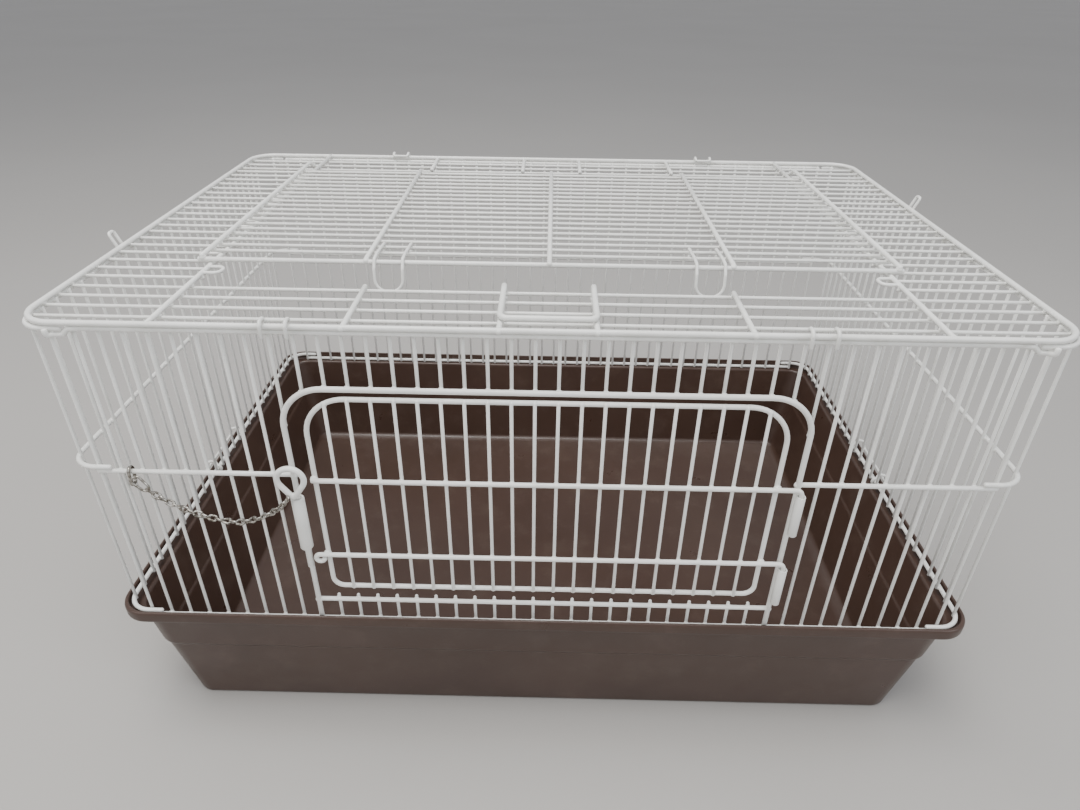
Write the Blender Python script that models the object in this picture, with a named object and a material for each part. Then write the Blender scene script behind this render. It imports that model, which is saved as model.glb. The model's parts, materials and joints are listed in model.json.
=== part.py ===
"""Wire rabbit cage standing on a moulded plastic tray.

All lengths are written in millimetres and turned into metres when a solid is made.
+X is the right-hand side, -Y is the front, +Z is up; the origin is the centre of the tray's underside.
Wires are swept polygons.  Welded wires sink into each other by WELD, wires of separate pieces keep
at least CLEAR between them.
"""
import math

import bmesh
import bpy
from mathutils import Vector

MM = 0.001
WELD = 0.6
CLEAR = 0.3

PITCH = 14.5
PICKET_R = 1.2
RAIL_R = 1.7
FRAME_R = 1.9
CLIP_R = 1.1
HOOK_R = 1.2
CLAMP_R = 1.3

# --- upright panels -----------------------------------------------------------------------------
FRONT_Y = -205.0
BACK_Y = 205.0
SIDE_X = 314.0
RAIL_STAND_OFF = PICKET_R + RAIL_R - WELD
RETURN_STAND_OFF = PICKET_R + RAIL_R + CLEAR
BOTTOM_Z = 107.0
SIDE_BOTTOM_Z = 111.5
MID_Z = 242.0
TOP_Z = 347.0
MID_RAIL_LIFT = 2 * RAIL_R + CLEAR
SIDE_RAIL_X = SIDE_X + RAIL_STAND_OFF
RETURN_END_X = 288.0
RETURN_RADIUS = 18.0
FRONT_RAIL_END_X = 297.0
PICKETS_PER_FRONT_SIDE = 9
SIDE_PICKETS = 28
BACK_PICKETS = 42

# --- doorway, arch and sill in the front panel --------------------------------------------------
POST_X = 11.5 * PITCH
ARCH_Y = FRONT_Y - PICKET_R - CLEAR - FRAME_R
ARCH_TOP_Z = 309.0
ARCH_RADIUS = 28.0
SILL_Z = 127.0

# --- front door ---------------------------------------------------------------------------------
SLEEVE_R = 3.1
SLEEVE_BORE_R = 2.15
SLEEVE_LENGTH = 33.5
HINGE_X = 168.0
HINGE_Y = ARCH_Y - FRAME_R - CLEAR - SLEEVE_R
DOOR_HALF_WIDTH = 10.5 * PITCH
DOOR_TOP_Z = 303.0
DOOR_BOTTOM_Z = 144.0
DOOR_TOP_RADIUS = 27.0
DOOR_BOTTOM_RADIUS = 8.0
DOOR_RAILS_Z = (177.0, MID_Z)
DOOR_FRAME_Y = HINGE_Y + 2 * RAIL_R + CLEAR
DOOR_WIRE_Y = HINGE_Y + RAIL_STAND_OFF
PIN_BEND_RADIUS = 4.0
EYE_RADIUS = 3.0
EYE_X = -157.2

# --- latch --------------------------------------------------------------------------------------
LATCH_X = -164.5
BARREL_R = 4.4
BARREL_BORE_R = 2.5
LATCH_PIN_R = 2.0
LATCH_Y = ARCH_Y - FRAME_R - CLEAR - BARREL_R
BARREL_Z = (185.0, 229.0)
LATCH_TIP_Z = 167.0
RING_R = 1.95
RING_CENTRE = (-165.4, LATCH_Y - 3.2, 246.0)
RING_RADIUS = 8.8
RING_TAPER_DEGREES = 35.0

# --- chain --------------------------------------------------------------------------------------
CHAIN_R = 1.6
ANCHOR_X = -19 * PITCH
ANCHOR_WIRE_R = 1.1
CHAIN_PATH = [
    (-271.5, -213.4, 241.0),
    (-266.5, -213.4, 234.0),
    (-261.5, -213.4, 228.0),
    (-252.0, -213.4, 220.5),
    (-243.0, -213.4, 215.0),
    (-232.0, -213.4, 210.0),
    (-219.0, -213.6, 206.3),
    (-207.0, -214.4, 205.8),
    (-194.0, -216.0, 210.5),
    (-182.0, -218.6, 218.5),
    (-173.5, -221.3, 226.0),
    (-167.2, -222.4, 234.5),
]

# --- top panel ----------------------------------------------------------------------------------
RING_FRAME_X = 315.0
RING_FRAME_Y = 208.5
RING_FRAME_RADIUS = 22.0
RING_FRAME_Z = TOP_Z + RAIL_R + CLEAR + FRAME_R
ROW_STEP = 2 * RING_FRAME_Y / 27
GRILLE_ROW_Z = 349.0
STRIP_ROW_Z = GRILLE_ROW_Z + RAIL_STAND_OFF - RAIL_R - CLEAR - PICKET_R
OPENING_X = 235.5
OPENING_Z = GRILLE_ROW_Z + RAIL_STAND_OFF
CROSS_Z = STRIP_ROW_Z + RAIL_STAND_OFF
CROSS_INNER_X = 29.0
CROSS_OUTER_X = 121.0
REST_Y = (-117.0, -128.0)
REST_REACH = 10.0

# --- top door -----------------------------------------------------------------------------------
TOP_HINGE_Y = -RING_FRAME_Y + 24 * ROW_STEP
TOP_HINGE_Z = STRIP_ROW_Z
TOP_DOOR_FRONT_Y = -112.0
TOP_DOOR_SIDE_X = 240.5
TOP_DOOR_ROW_Z = OPENING_Z + RAIL_R + CLEAR + PICKET_R
TOP_DOOR_FRONT_Z = OPENING_Z + RAIL_R + CLEAR + RAIL_R
TOP_DOOR_SIDE_Z = TOP_DOOR_FRONT_Z + 2 * RAIL_R - WELD
TOP_DOOR_INNER_Z = TOP_DOOR_ROW_Z + RAIL_STAND_OFF
TOP_DOOR_INNER_X = (-127.0, 0.0, 127.0)
TOP_DOOR_ROWS = 19
TOP_DOOR_FIRST_ROW_Y = -93.0
TOP_DOOR_ROW_STEP = 12.3
CLIP_X = 111.0
CLIP_HALF_WIDTH = 9.8
CLIP_LOOP_RADIUS = 8.5
CLIP_PIVOT_Y = TOP_DOOR_FIRST_ROW_Y + TOP_DOOR_ROW_STEP
BAIL_PIVOT_Y = -RING_FRAME_Y + 4 * ROW_STEP
BAIL_FRONT_Y = -198.0
BAIL_Z = CROSS_Z + RAIL_R + CLEAR + FRAME_R

# --- tray: (inset from the outer rim, height) pairs, outside then inside -------------------------
TRAY_HALF_X = 322.5
TRAY_HALF_Y = 213.5
TRAY_CORNER = 21.0
TRAY_LEDGE_Z = 105.0
TRAY_END_LEAN = 12.0
TRAY_OUTSIDE = [
    (20.0, 0.0), (17.8, 1.6), (12.4, 65.6), (10.8, 68.0), (8.6, 103.2), (0.7, 103.2), (0.0, 104.4),
    (0.0, 111.2), (0.6, 112.6), (1.4, 113.0),
]
TRAY_INSIDE = [
    (2.1, 113.0), (2.6, 112.4), (2.8, 105.0), (9.8, 105.0), (11.2, 103.4), (13.8, 68.0), (15.4, 65.6),
    (20.8, 6.4), (23.8, 3.4),
]

# --- clamps -------------------------------------------------------------------------------------
CLAMP_HALF_LENGTH = 2 * PITCH
CLAMP_PIVOT_Z = SIDE_BOTTOM_Z


def clear_scene():
    for thing in list(bpy.data.objects):
        bpy.data.objects.remove(thing, do_unlink=True)


def fillet(points, radius, steps=3):
    """The polyline through points with every inner corner rounded by an arc of the given radius."""
    corners = [Vector(point) for point in points]
    path = [corners[0]]
    for before, corner, after in zip(corners, corners[1:], corners[2:]):
        path.extend(rounded_corner(before, corner, after, radius, steps))
    path.append(corners[-1])
    return path


def closed_fillet(points, radii, steps=4):
    """A closed loop through points, with one corner radius per point."""
    corners = [Vector(point) for point in points]
    count = len(corners)
    path = []
    for index in range(count):
        before = corners[index - 1]
        after = corners[(index + 1) % count]
        path.extend(rounded_corner(before, corners[index], after, radii[index], steps))
    return path


def rounded_corner(before, corner, after, radius, steps):
    to_before = (before - corner).normalized()
    to_after = (after - corner).normalized()
    half_angle = to_before.angle(to_after) / 2
    reach = radius / math.tan(half_angle)
    centre = corner + (to_before + to_after).normalized() * (radius / math.sin(half_angle))
    start = corner + to_before * reach - centre
    finish = corner + to_after * reach - centre
    return [centre + start.slerp(finish, step / steps).normalized() * radius for step in range(steps + 1)]


def arc(centre, radius, first_degrees, last_degrees, steps, plane):
    """Points on a circle; plane is "XZ" or "YZ" and angles grow from the first axis to Z."""
    points = []
    for step in range(steps + 1):
        angle = math.radians(first_degrees + (last_degrees - first_degrees) * step / steps)
        along = radius * math.cos(angle)
        up = radius * math.sin(angle)
        offset = Vector((along, 0, up)) if plane == "XZ" else Vector((0, along, up))
        points.append(Vector(centre) + offset)
    return points


def sweep(mesh, path, radius, sides, closed=False):
    """Add one wire, a polygon of the given number of sides swept along path, to a bmesh."""
    points = [Vector(point) for point in path]
    count = len(points)
    tangents = []
    for index, point in enumerate(points):
        after = points[(index + 1) % count] if closed or index < count - 1 else point
        before = points[index - 1] if closed or index > 0 else point
        tangents.append((after - before).normalized())
    helper = Vector((0, 0, 1)) if abs(tangents[0].z) < 0.9 else Vector((1, 0, 0))
    normal = tangents[0].cross(helper).normalized()
    normals = [normal]
    for before, after in zip(tangents, tangents[1:]):
        normal = before.rotation_difference(after) @ normal
        normals.append((normal - after * normal.dot(after)).normalized())
    twist = 0.0
    if closed:
        carried = tangents[-1].rotation_difference(tangents[0]) @ normals[-1]
        twist = math.atan2(tangents[0].dot(carried.cross(normals[0])), carried.dot(normals[0]))
    rings = []
    for index, point in enumerate(points):
        binormal = tangents[index].cross(normals[index])
        stretch = corner_stretch(points, index, closed)
        ring = []
        for side in range(sides):
            angle = 2 * math.pi * (side + 0.5) / sides + twist * index / count
            offset = normals[index] * math.cos(angle) + binormal * math.sin(angle)
            ring.append(mesh.verts.new((point + offset * radius * stretch) * MM))
        rings.append(ring)
    pairs = list(zip(rings, rings[1:]))
    if closed:
        pairs.append((rings[-1], rings[0]))
    for lower, upper in pairs:
        for side in range(sides):
            following = (side + 1) % sides
            mesh.faces.new((lower[side], lower[following], upper[following], upper[side]))
    if not closed:
        mesh.faces.new(list(reversed(rings[0])))
        mesh.faces.new(rings[-1])


def corner_stretch(points, index, closed):
    """How much wider a ring is made at a bend, so that the wire keeps its thickness there."""
    count = len(points)
    if not closed and index in (0, count - 1):
        return 1.0
    incoming = points[index] - points[index - 1]
    outgoing = points[(index + 1) % count] - points[index]
    return min(1.0 / math.cos(incoming.angle(outgoing) / 2), 1.15)


def wire(path, radius=RAIL_R, sides=8, closed=False):
    return {"path": path, "radius": radius, "sides": sides, "closed": closed}


def picket(start, finish):
    return wire([start, finish], PICKET_R, 6)


def make_object(name, mesh):
    bmesh.ops.recalc_face_normals(mesh, faces=mesh.faces)
    data = bpy.data.meshes.new(name)
    mesh.to_mesh(data)
    mesh.free()
    thing = bpy.data.objects.new(name, data)
    bpy.context.scene.collection.objects.link(thing)
    return thing


def wires_object(name, wires):
    mesh = bmesh.new()
    for item in wires:
        sweep(mesh, item["path"], item["radius"], item["sides"], item["closed"])
    return make_object(name, mesh)


def combine(base, tool, operation):
    """Replace base's mesh by its union or difference with tool, and drop tool."""
    modifier = base.modifiers.new("combine", "BOOLEAN")
    modifier.operation = operation
    modifier.solver = "EXACT"
    modifier.object = tool
    bpy.context.view_layer.update()
    evaluated = base.evaluated_get(bpy.context.evaluated_depsgraph_get())
    result = bpy.data.meshes.new_from_object(evaluated)
    base.modifiers.clear()
    base.data = result
    result.name = base.name
    bpy.data.objects.remove(tool, do_unlink=True)


def body(name, *layers):
    """One piece: the union of layers of wires, where wires in one layer never touch each other."""
    base = wires_object(name, layers[0])
    for layer in layers[1:]:
        combine(base, wires_object("tool", layer), "UNION")
    mesh = bmesh.new()
    mesh.from_mesh(base.data)
    bmesh.ops.remove_doubles(mesh, verts=mesh.verts, dist=0.004 * MM)
    bmesh.ops.triangulate(mesh, faces=mesh.faces)
    bmesh.ops.dissolve_degenerate(mesh, edges=mesh.edges, dist=0.003 * MM)
    mesh.to_mesh(base.data)
    mesh.free()
    return base


def tube(name, x, y, z_range, outer, bore):
    """A straight vertical tube that is open at both ends."""
    mesh = bmesh.new()
    sides = 12
    loops = []
    for radius, height in ((outer, z_range[0]), (outer, z_range[1]), (bore, z_range[1]), (bore, z_range[0])):
        loop = []
        for side in range(sides):
            angle = 2 * math.pi * side / sides
            loop.append(mesh.verts.new(Vector((
                x + radius * math.cos(angle), y + radius * math.sin(angle), height)) * MM))
        loops.append(loop)
    for index, loop in enumerate(loops):
        following = loops[(index + 1) % len(loops)]
        for side in range(sides):
            after = (side + 1) % sides
            mesh.faces.new((loop[side], loop[after], following[after], following[side]))
    return make_object(name, mesh)


def mirrored(points, sign):
    return [(sign * x, y, z) for x, y, z in points]


# ------------------------------------------------------------------------------------------------
# tray and clamps
# ------------------------------------------------------------------------------------------------
def rounded_rectangle(half_x, half_y, radius, height, steps=5):
    points = []
    for quarter, (sign_x, sign_y) in enumerate(((1, 1), (-1, 1), (-1, -1), (1, -1))):
        for step in range(steps + 1):
            angle = math.pi / 2 * (quarter + step / steps)
            points.append(Vector((
                sign_x * (half_x - radius) + radius * math.cos(angle),
                sign_y * (half_y - radius) + radius * math.sin(angle),
                height,
            )))
    return points


def build_tray():
    mesh = bmesh.new()
    loops = []
    for inset, height in TRAY_OUTSIDE + TRAY_INSIDE:
        corner = TRAY_CORNER - inset * 0.35
        lean = TRAY_END_LEAN * max(0.0, 1 - height / TRAY_LEDGE_Z)
        outline = rounded_rectangle(TRAY_HALF_X - inset - lean, TRAY_HALF_Y - inset, corner, height)
        loops.append([mesh.verts.new(point * MM) for point in outline])
    for lower, upper in zip(loops, loops[1:]):
        count = len(lower)
        for index in range(count):
            following = (index + 1) % count
            mesh.faces.new((lower[index], lower[following], upper[following], upper[index]))
    mesh.faces.new(list(reversed(loops[0])))
    mesh.faces.new(loops[-1])
    make_object("tray", mesh)


def clamp_path(sign):
    """A wire hooked on the side panel's bottom rail, over the tray rim, with a bar outside the rim."""
    loop = RAIL_R + 0.35 + CLAMP_R
    pivot = (SIDE_RAIL_X, 0, CLAMP_PIVOT_Z)
    curl = arc(pivot, loop, 250, 95, 6, "XZ")
    over = [(SIDE_RAIL_X + 1.6, 0, 120.0), (323.8, 0, 118.4), (326.6, 0, 109.6)]
    leg = [(point.x, point.z) for point in curl] + [(point[0], point[2]) for point in over]
    near = [(x, -CLAMP_HALF_LENGTH, z) for x, z in leg]
    far = [(x, CLAMP_HALF_LENGTH, z) for x, z in reversed(leg)]
    straight_from = len(curl)
    rounded = fillet(near[straight_from - 1:] + far[:-straight_from + 1], 2.2, 3)
    path = near[:straight_from - 1] + [tuple(point) for point in rounded] + far[-straight_from + 1:]
    return mirrored(path, sign)


def build_clamps():
    for name, sign in (("clamp_left", -1), ("clamp_right", 1)):
        body(name, [wire(clamp_path(sign), CLAMP_R, 6)])


# ------------------------------------------------------------------------------------------------
# upright panels
# ------------------------------------------------------------------------------------------------
def grille_span():
    """Lowest and highest point of the wires that stand between a bottom rail and a top rail."""
    return BOTTOM_Z + RAIL_R + CLEAR, TOP_Z - RAIL_R - CLEAR


def front_wire_positions(first, count, sign):
    return [sign * (first + index) * PITCH for index in range(count)]


def build_front_panel():
    low, high = grille_span()
    rail_y = FRONT_Y - RAIL_STAND_OFF
    for name, sign in (("front_grille_left", -1), ("front_grille_right", 1)):
        stands = [
            picket((x, FRONT_Y, low), (x, FRONT_Y, high))
            for x in front_wire_positions(12.5, PICKETS_PER_FRONT_SIDE, sign)
        ]
        inner_end = sign * (POST_X + FRAME_R + CLEAR)
        mid_rail = wire([(inner_end, rail_y, MID_Z), (sign * FRONT_RAIL_END_X, rail_y, MID_Z)])
        body(name, [mid_rail], stands)
    build_front_top()
    bottom = wire([(-FRONT_RAIL_END_X, rail_y, BOTTOM_Z), (FRONT_RAIL_END_X, rail_y, BOTTOM_Z)])
    body("front_rail_bottom", [bottom])
    build_arch()
    build_sill(rail_y, low)


def arch_height(x):
    """Height of the arch's centre line above a place between the two posts."""
    beyond = abs(x) - (POST_X - ARCH_RADIUS)
    if beyond <= 0:
        return ARCH_TOP_Z
    return ARCH_TOP_Z - ARCH_RADIUS + math.sqrt(max(ARCH_RADIUS ** 2 - beyond ** 2, 0.0))


def top_rail_path(sign):
    """A front (-1) or back (1) top rail: its ends dip under the side panels' returns and hook round them."""
    rail_y = FRONT_Y - RAIL_STAND_OFF
    outer_y = FRONT_Y - RETURN_STAND_OFF
    hook_y = outer_y - 2 * RAIL_R - CLEAR
    dip = TOP_Z - 2 * RAIL_R - CLEAR - 0.1
    half = [
        (276.0, rail_y, TOP_Z), (280.5, outer_y, TOP_Z), (283.0, outer_y, TOP_Z), (287.0, outer_y, dip),
        (292.4, outer_y - 0.6, dip), (294.6, hook_y, dip + 0.4), (294.9, hook_y, TOP_Z + 0.4),
    ]
    path = fillet(list(reversed(mirrored(half, -1))) + half, 2.0, 2)
    return [(point.x, -sign * point.y, point.z) for point in path]


def build_front_top():
    """Front top rail and the wires above the arch."""
    header = []
    for sign in (-1, 1):
        for x in front_wire_positions(0.5, 12, sign):
            header.append(picket((x, FRONT_Y, arch_height(x) - 1.0), (x, FRONT_Y, TOP_Z + PICKET_R)))
    body("front_rail_top", [wire(top_rail_path(-1))], header)


def build_arch():
    foot = BOTTOM_Z + RAIL_R + CLEAR
    corners = [
        (-POST_X, ARCH_Y, foot), (-POST_X, ARCH_Y, ARCH_TOP_Z),
        (POST_X, ARCH_Y, ARCH_TOP_Z), (POST_X, ARCH_Y, foot),
    ]
    body("front_arch", [wire(fillet(corners, ARCH_RADIUS, 6), FRAME_R)])


def build_sill(rail_y, low):
    end = POST_X - FRAME_R - CLEAR
    sill = wire([(-end, rail_y, SILL_Z), (end, rail_y, SILL_Z)])
    short = []
    for sign in (-1, 1):
        for x in front_wire_positions(0.5, 11, sign):
            short.append(picket((x, FRONT_Y, low), (x, FRONT_Y, SILL_Z + RAIL_R + 0.9)))
    body("front_sill", [sill], short)


def build_back_panel():
    low, high = grille_span()
    rail_y = BACK_Y + RAIL_STAND_OFF
    stands = []
    for sign in (-1, 1):
        for x in front_wire_positions(0.5, BACK_PICKETS // 2, sign):
            stands.append(picket((x, BACK_Y, low), (x, BACK_Y, high)))
    ends = (-FRONT_RAIL_END_X, FRONT_RAIL_END_X)
    body("back_grille", [wire([(x, rail_y, MID_Z) for x in ends])], stands)
    body("back_rail_top", [wire(top_rail_path(1))])
    body("back_rail_bottom", [wire([(x, rail_y, BOTTOM_Z) for x in ends])])


def side_rail_path(sign, height):
    """A side rail whose two ends turn round the corners onto the front and back panels."""
    front = FRONT_Y - RETURN_STAND_OFF
    back = BACK_Y + RETURN_STAND_OFF
    corners = [
        (RETURN_END_X, front, height), (SIDE_RAIL_X, front, height),
        (SIDE_RAIL_X, back, height), (RETURN_END_X, back, height),
    ]
    return fillet(mirrored(corners, sign), RETURN_RADIUS, 4)


def build_side_panels():
    low = SIDE_BOTTOM_Z + RAIL_R + CLEAR
    high = TOP_Z - RAIL_R - CLEAR
    for side, sign in (("left", -1), ("right", 1)):
        stands = []
        for index in range(SIDE_PICKETS):
            y = (index - (SIDE_PICKETS - 1) / 2) * PITCH
            x = sign * SIDE_X
            stands.append(picket((x, y, low), (x, y, high)))
        mid_rail = wire(side_rail_path(sign, MID_Z + MID_RAIL_LIFT))
        body(f"{side}_grille", [mid_rail], stands)
        body(f"{side}_rail_bottom", [wire(side_rail_path(sign, SIDE_BOTTOM_Z))])
        body(f"{side}_rail_top", [wire(side_rail_path(sign, TOP_Z))])


# ------------------------------------------------------------------------------------------------
# front door, hinge sleeves and latch
# ------------------------------------------------------------------------------------------------
def door_frame_corners():
    return [
        (-DOOR_HALF_WIDTH, DOOR_FRAME_Y, DOOR_BOTTOM_Z), (DOOR_HALF_WIDTH, DOOR_FRAME_Y, DOOR_BOTTOM_Z),
        (DOOR_HALF_WIDTH, DOOR_FRAME_Y, DOOR_TOP_Z), (-DOOR_HALF_WIDTH, DOOR_FRAME_Y, DOOR_TOP_Z),
    ]


def door_wire_top(x):
    """Highest point of a door wire that still clears the rounded top of the door frame."""
    inner_radius = DOOR_TOP_RADIUS - RAIL_R - CLEAR
    beyond = abs(x) + PICKET_R - (DOOR_HALF_WIDTH - DOOR_TOP_RADIUS)
    if beyond <= 0:
        return DOOR_TOP_Z - RAIL_R - CLEAR
    return DOOR_TOP_Z - DOOR_TOP_RADIUS + math.sqrt(inner_radius ** 2 - beyond ** 2)


def door_rail_path(height, with_eye):
    """A door rail: an eye or plain end on the left, the hinge pin bent down on the right."""
    bend_centre = (HINGE_X - PIN_BEND_RADIUS, HINGE_Y, height - PIN_BEND_RADIUS)
    pin_end = height - PIN_BEND_RADIUS - SLEEVE_LENGTH + 2.0
    path = arc(bend_centre, PIN_BEND_RADIUS, 90, 0, 4, "XZ")
    path.append(Vector((HINGE_X, HINGE_Y, pin_end)))
    if with_eye:
        eye_centre = (EYE_X, HINGE_Y, height - EYE_RADIUS)
        start = arc(eye_centre, EYE_RADIUS, 350, 90, 8, "XZ")
    else:
        start = [Vector((-DOOR_HALF_WIDTH - 1.0, HINGE_Y, height))]
    return start + path


def build_front_door():
    radii = [DOOR_BOTTOM_RADIUS, DOOR_BOTTOM_RADIUS, DOOR_TOP_RADIUS, DOOR_TOP_RADIUS]
    frame = closed_fillet(door_frame_corners(), radii, 5)
    body("door_frame", [wire(frame, RAIL_R, 8, closed=True)])
    low = DOOR_BOTTOM_Z + RAIL_R + CLEAR
    stands = []
    for sign in (-1, 1):
        for x in front_wire_positions(0.5, 10, sign):
            stands.append(picket((x, DOOR_WIRE_Y, low), (x, DOOR_WIRE_Y, door_wire_top(x))))
    lower_rail = wire(door_rail_path(DOOR_RAILS_Z[0], True))
    upper_rail = wire(door_rail_path(DOOR_RAILS_Z[1], False))
    body("door_grille", [lower_rail, upper_rail], stands)
    for name, rail_z in (("hinge_sleeve_lower", DOOR_RAILS_Z[0]), ("hinge_sleeve_upper", DOOR_RAILS_Z[1])):
        top = rail_z - PIN_BEND_RADIUS - 0.5
        tube(name, HINGE_X, HINGE_Y, (top - SLEEVE_LENGTH, top), SLEEVE_R, SLEEVE_BORE_R)


def latch_ring_path():
    """A teardrop: most of a circle, its two sides running straight down to a rounded point."""
    first = -RING_TAPER_DEGREES
    last = 180 + RING_TAPER_DEGREES
    loop = arc(RING_CENTRE, RING_RADIUS, first, last, 14, "XZ")
    drop = RING_RADIUS / math.sin(math.radians(RING_TAPER_DEGREES))
    point = Vector(RING_CENTRE) - Vector((0, 0, drop))
    return loop + rounded_corner(loop[-1], point, loop[0], 2.4, 4)


def build_latch():
    tube("latch_barrel", LATCH_X, LATCH_Y, BARREL_Z, BARREL_R, BARREL_BORE_R)
    ring = latch_ring_path()
    lowest = min(ring, key=lambda point: point.z)
    foot = [(LATCH_X, LATCH_Y, LATCH_TIP_Z), (LATCH_X, LATCH_Y, BARREL_Z[1] + 0.6)]
    pin = wire(fillet(foot + [tuple(lowest)], 2.0, 2), LATCH_PIN_R, 8)
    body("latch_pin", [pin], [wire(ring, RING_R, 8, closed=True)])


def build_chain():
    """The chain is one plain round cord here; the oval link holds it on the front mid rail."""
    body("chain", [wire(fillet(CHAIN_PATH, 5.0, 2), CHAIN_R, 6)])
    rail_y = FRONT_Y - RAIL_STAND_OFF
    reach = RAIL_R + 0.5 + ANCHOR_WIRE_R
    corners = [
        (ANCHOR_X, rail_y - reach, MID_Z + reach), (ANCHOR_X, rail_y + reach, MID_Z + reach),
        (ANCHOR_X, rail_y + reach - 1.4, MID_Z - 9.5), (ANCHOR_X, rail_y - reach - 1.4, MID_Z - 9.5),
    ]
    loop = closed_fillet(corners, [2.6] * 4, 3)
    body("chain_anchor", [wire(loop, ANCHOR_WIRE_R, 6, closed=True)])


# ------------------------------------------------------------------------------------------------
# top panel
# ------------------------------------------------------------------------------------------------
def row_y(number):
    """Row numbers run from 0, the front of the ring frame, to 27, its back."""
    return -RING_FRAME_Y + number * ROW_STEP


def row_half_length(number):
    """Half the length of a row that ends just inside the rounded ring frame."""
    beyond = abs(row_y(number)) + PICKET_R - (RING_FRAME_Y - RING_FRAME_RADIUS)
    inner_radius = RING_FRAME_RADIUS - FRAME_R - CLEAR
    if beyond <= 0:
        return RING_FRAME_X - FRAME_R - CLEAR
    return RING_FRAME_X - RING_FRAME_RADIUS + math.sqrt(inner_radius ** 2 - beyond ** 2)


def build_ring_frame():
    corners = [
        (-RING_FRAME_X, -RING_FRAME_Y, RING_FRAME_Z), (RING_FRAME_X, -RING_FRAME_Y, RING_FRAME_Z),
        (RING_FRAME_X, RING_FRAME_Y, RING_FRAME_Z), (-RING_FRAME_X, RING_FRAME_Y, RING_FRAME_Z),
    ]
    loop = closed_fillet(corners, [RING_FRAME_RADIUS] * 4, 5)
    body("top_frame", [wire(loop, FRAME_R, 8, closed=True)])


def build_top_grilles():
    """Rows either side of the opening, each side welded under the wire that edges the opening."""
    end_y = RING_FRAME_Y - FRAME_R - CLEAR
    for side, sign in (("left", -1), ("right", 1)):
        edge = wire([(sign * OPENING_X, -end_y, OPENING_Z), (sign * OPENING_X, end_y, OPENING_Z)])
        rows = []
        for number in range(5, 24):
            y = row_y(number)
            inner = sign * (OPENING_X - RAIL_R)
            outer = sign * row_half_length(number)
            rows.append(picket((inner, y, GRILLE_ROW_Z), (outer, y, GRILLE_ROW_Z)))
        body(f"top_grille_{side}", [edge], rows)


def build_top_strip(name, numbers, frame_end, far_row, inner_far_row):
    """Full-width rows joined by short wires that run from the ring frame to far_row."""
    rows = []
    for number in numbers:
        reach = row_half_length(number)
        rows.append(picket((-reach, row_y(number), STRIP_ROW_Z), (reach, row_y(number), STRIP_ROW_Z)))
    direction = 1 if frame_end > 0 else -1
    crosses = []
    for x, last_row in ((CROSS_INNER_X, inner_far_row), (CROSS_OUTER_X, far_row)):
        far_y = row_y(last_row) - direction * (PICKET_R + 0.8)
        for sign in (-1, 1):
            crosses.append(wire([(sign * x, frame_end, CROSS_Z), (sign * x, far_y, CROSS_Z)]))
    body(name, rows, crosses)


def build_rests():
    """Small flat loops that stick out of the opening's edge, in front of the top door's corners."""
    edge = OPENING_X - RAIL_R - CLEAR
    for side, sign in (("left", -1), ("right", 1)):
        corners = [
            (edge, REST_Y[0], OPENING_Z), (edge - REST_REACH, REST_Y[0], OPENING_Z),
            (edge - REST_REACH, REST_Y[1], OPENING_Z), (edge, REST_Y[1], OPENING_Z),
        ]
        body(f"top_rest_{side}", [wire(fillet(mirrored(corners, sign), 4.5, 4), HOOK_R, 6)])


def hook_path(section, half_width, place):
    """A hook: section is its side view as (outward, up) pairs, run up one leg and down the other."""
    leg = [(-half_width, outward, up) for outward, up in section]
    other = [(half_width, outward, up) for outward, up in reversed(section)]
    return [place(*point) for point in fillet(leg + other, 2.1, 3)]


def build_hooks():
    """Six wire hooks that tie the top panel to the upright panels."""
    closed = [(4.0, -5.6), (4.1, 2.0), (1.6, 4.3), (-2.2, 4.3), (-4.4, 2.2)]
    swung_up = [(2.2, -7.2), (5.2, -6.4), (5.6, -1.0), (9.4, 8.4)]

    def at_front(x):
        return lambda along, out, up: (x + along, -RING_FRAME_Y - out, RING_FRAME_Z + up)

    def at_back(x):
        return lambda along, out, up: (x + along, RING_FRAME_Y + out, RING_FRAME_Z + up)

    def at_side(sign, y):
        return lambda along, out, up: (sign * (RING_FRAME_X + out), y + along, RING_FRAME_Z + up)

    places = [
        ("top_hook_front_left", closed, 7.5, at_front(-160.0)),
        ("top_hook_front_right", closed, 7.5, at_front(160.0)),
        ("top_hook_back_left", closed, 7.5, at_back(-160.0)),
        ("top_hook_back_right", closed, 7.5, at_back(160.0)),
        ("top_hook_left", swung_up, 3.4, at_side(-1, -72.5)),
        ("top_hook_right", swung_up, 3.4, at_side(1, 58.0)),
    ]
    for name, section, half_width, place in places:
        body(name, [wire(hook_path(section, half_width, place), HOOK_R, 6)])


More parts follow.
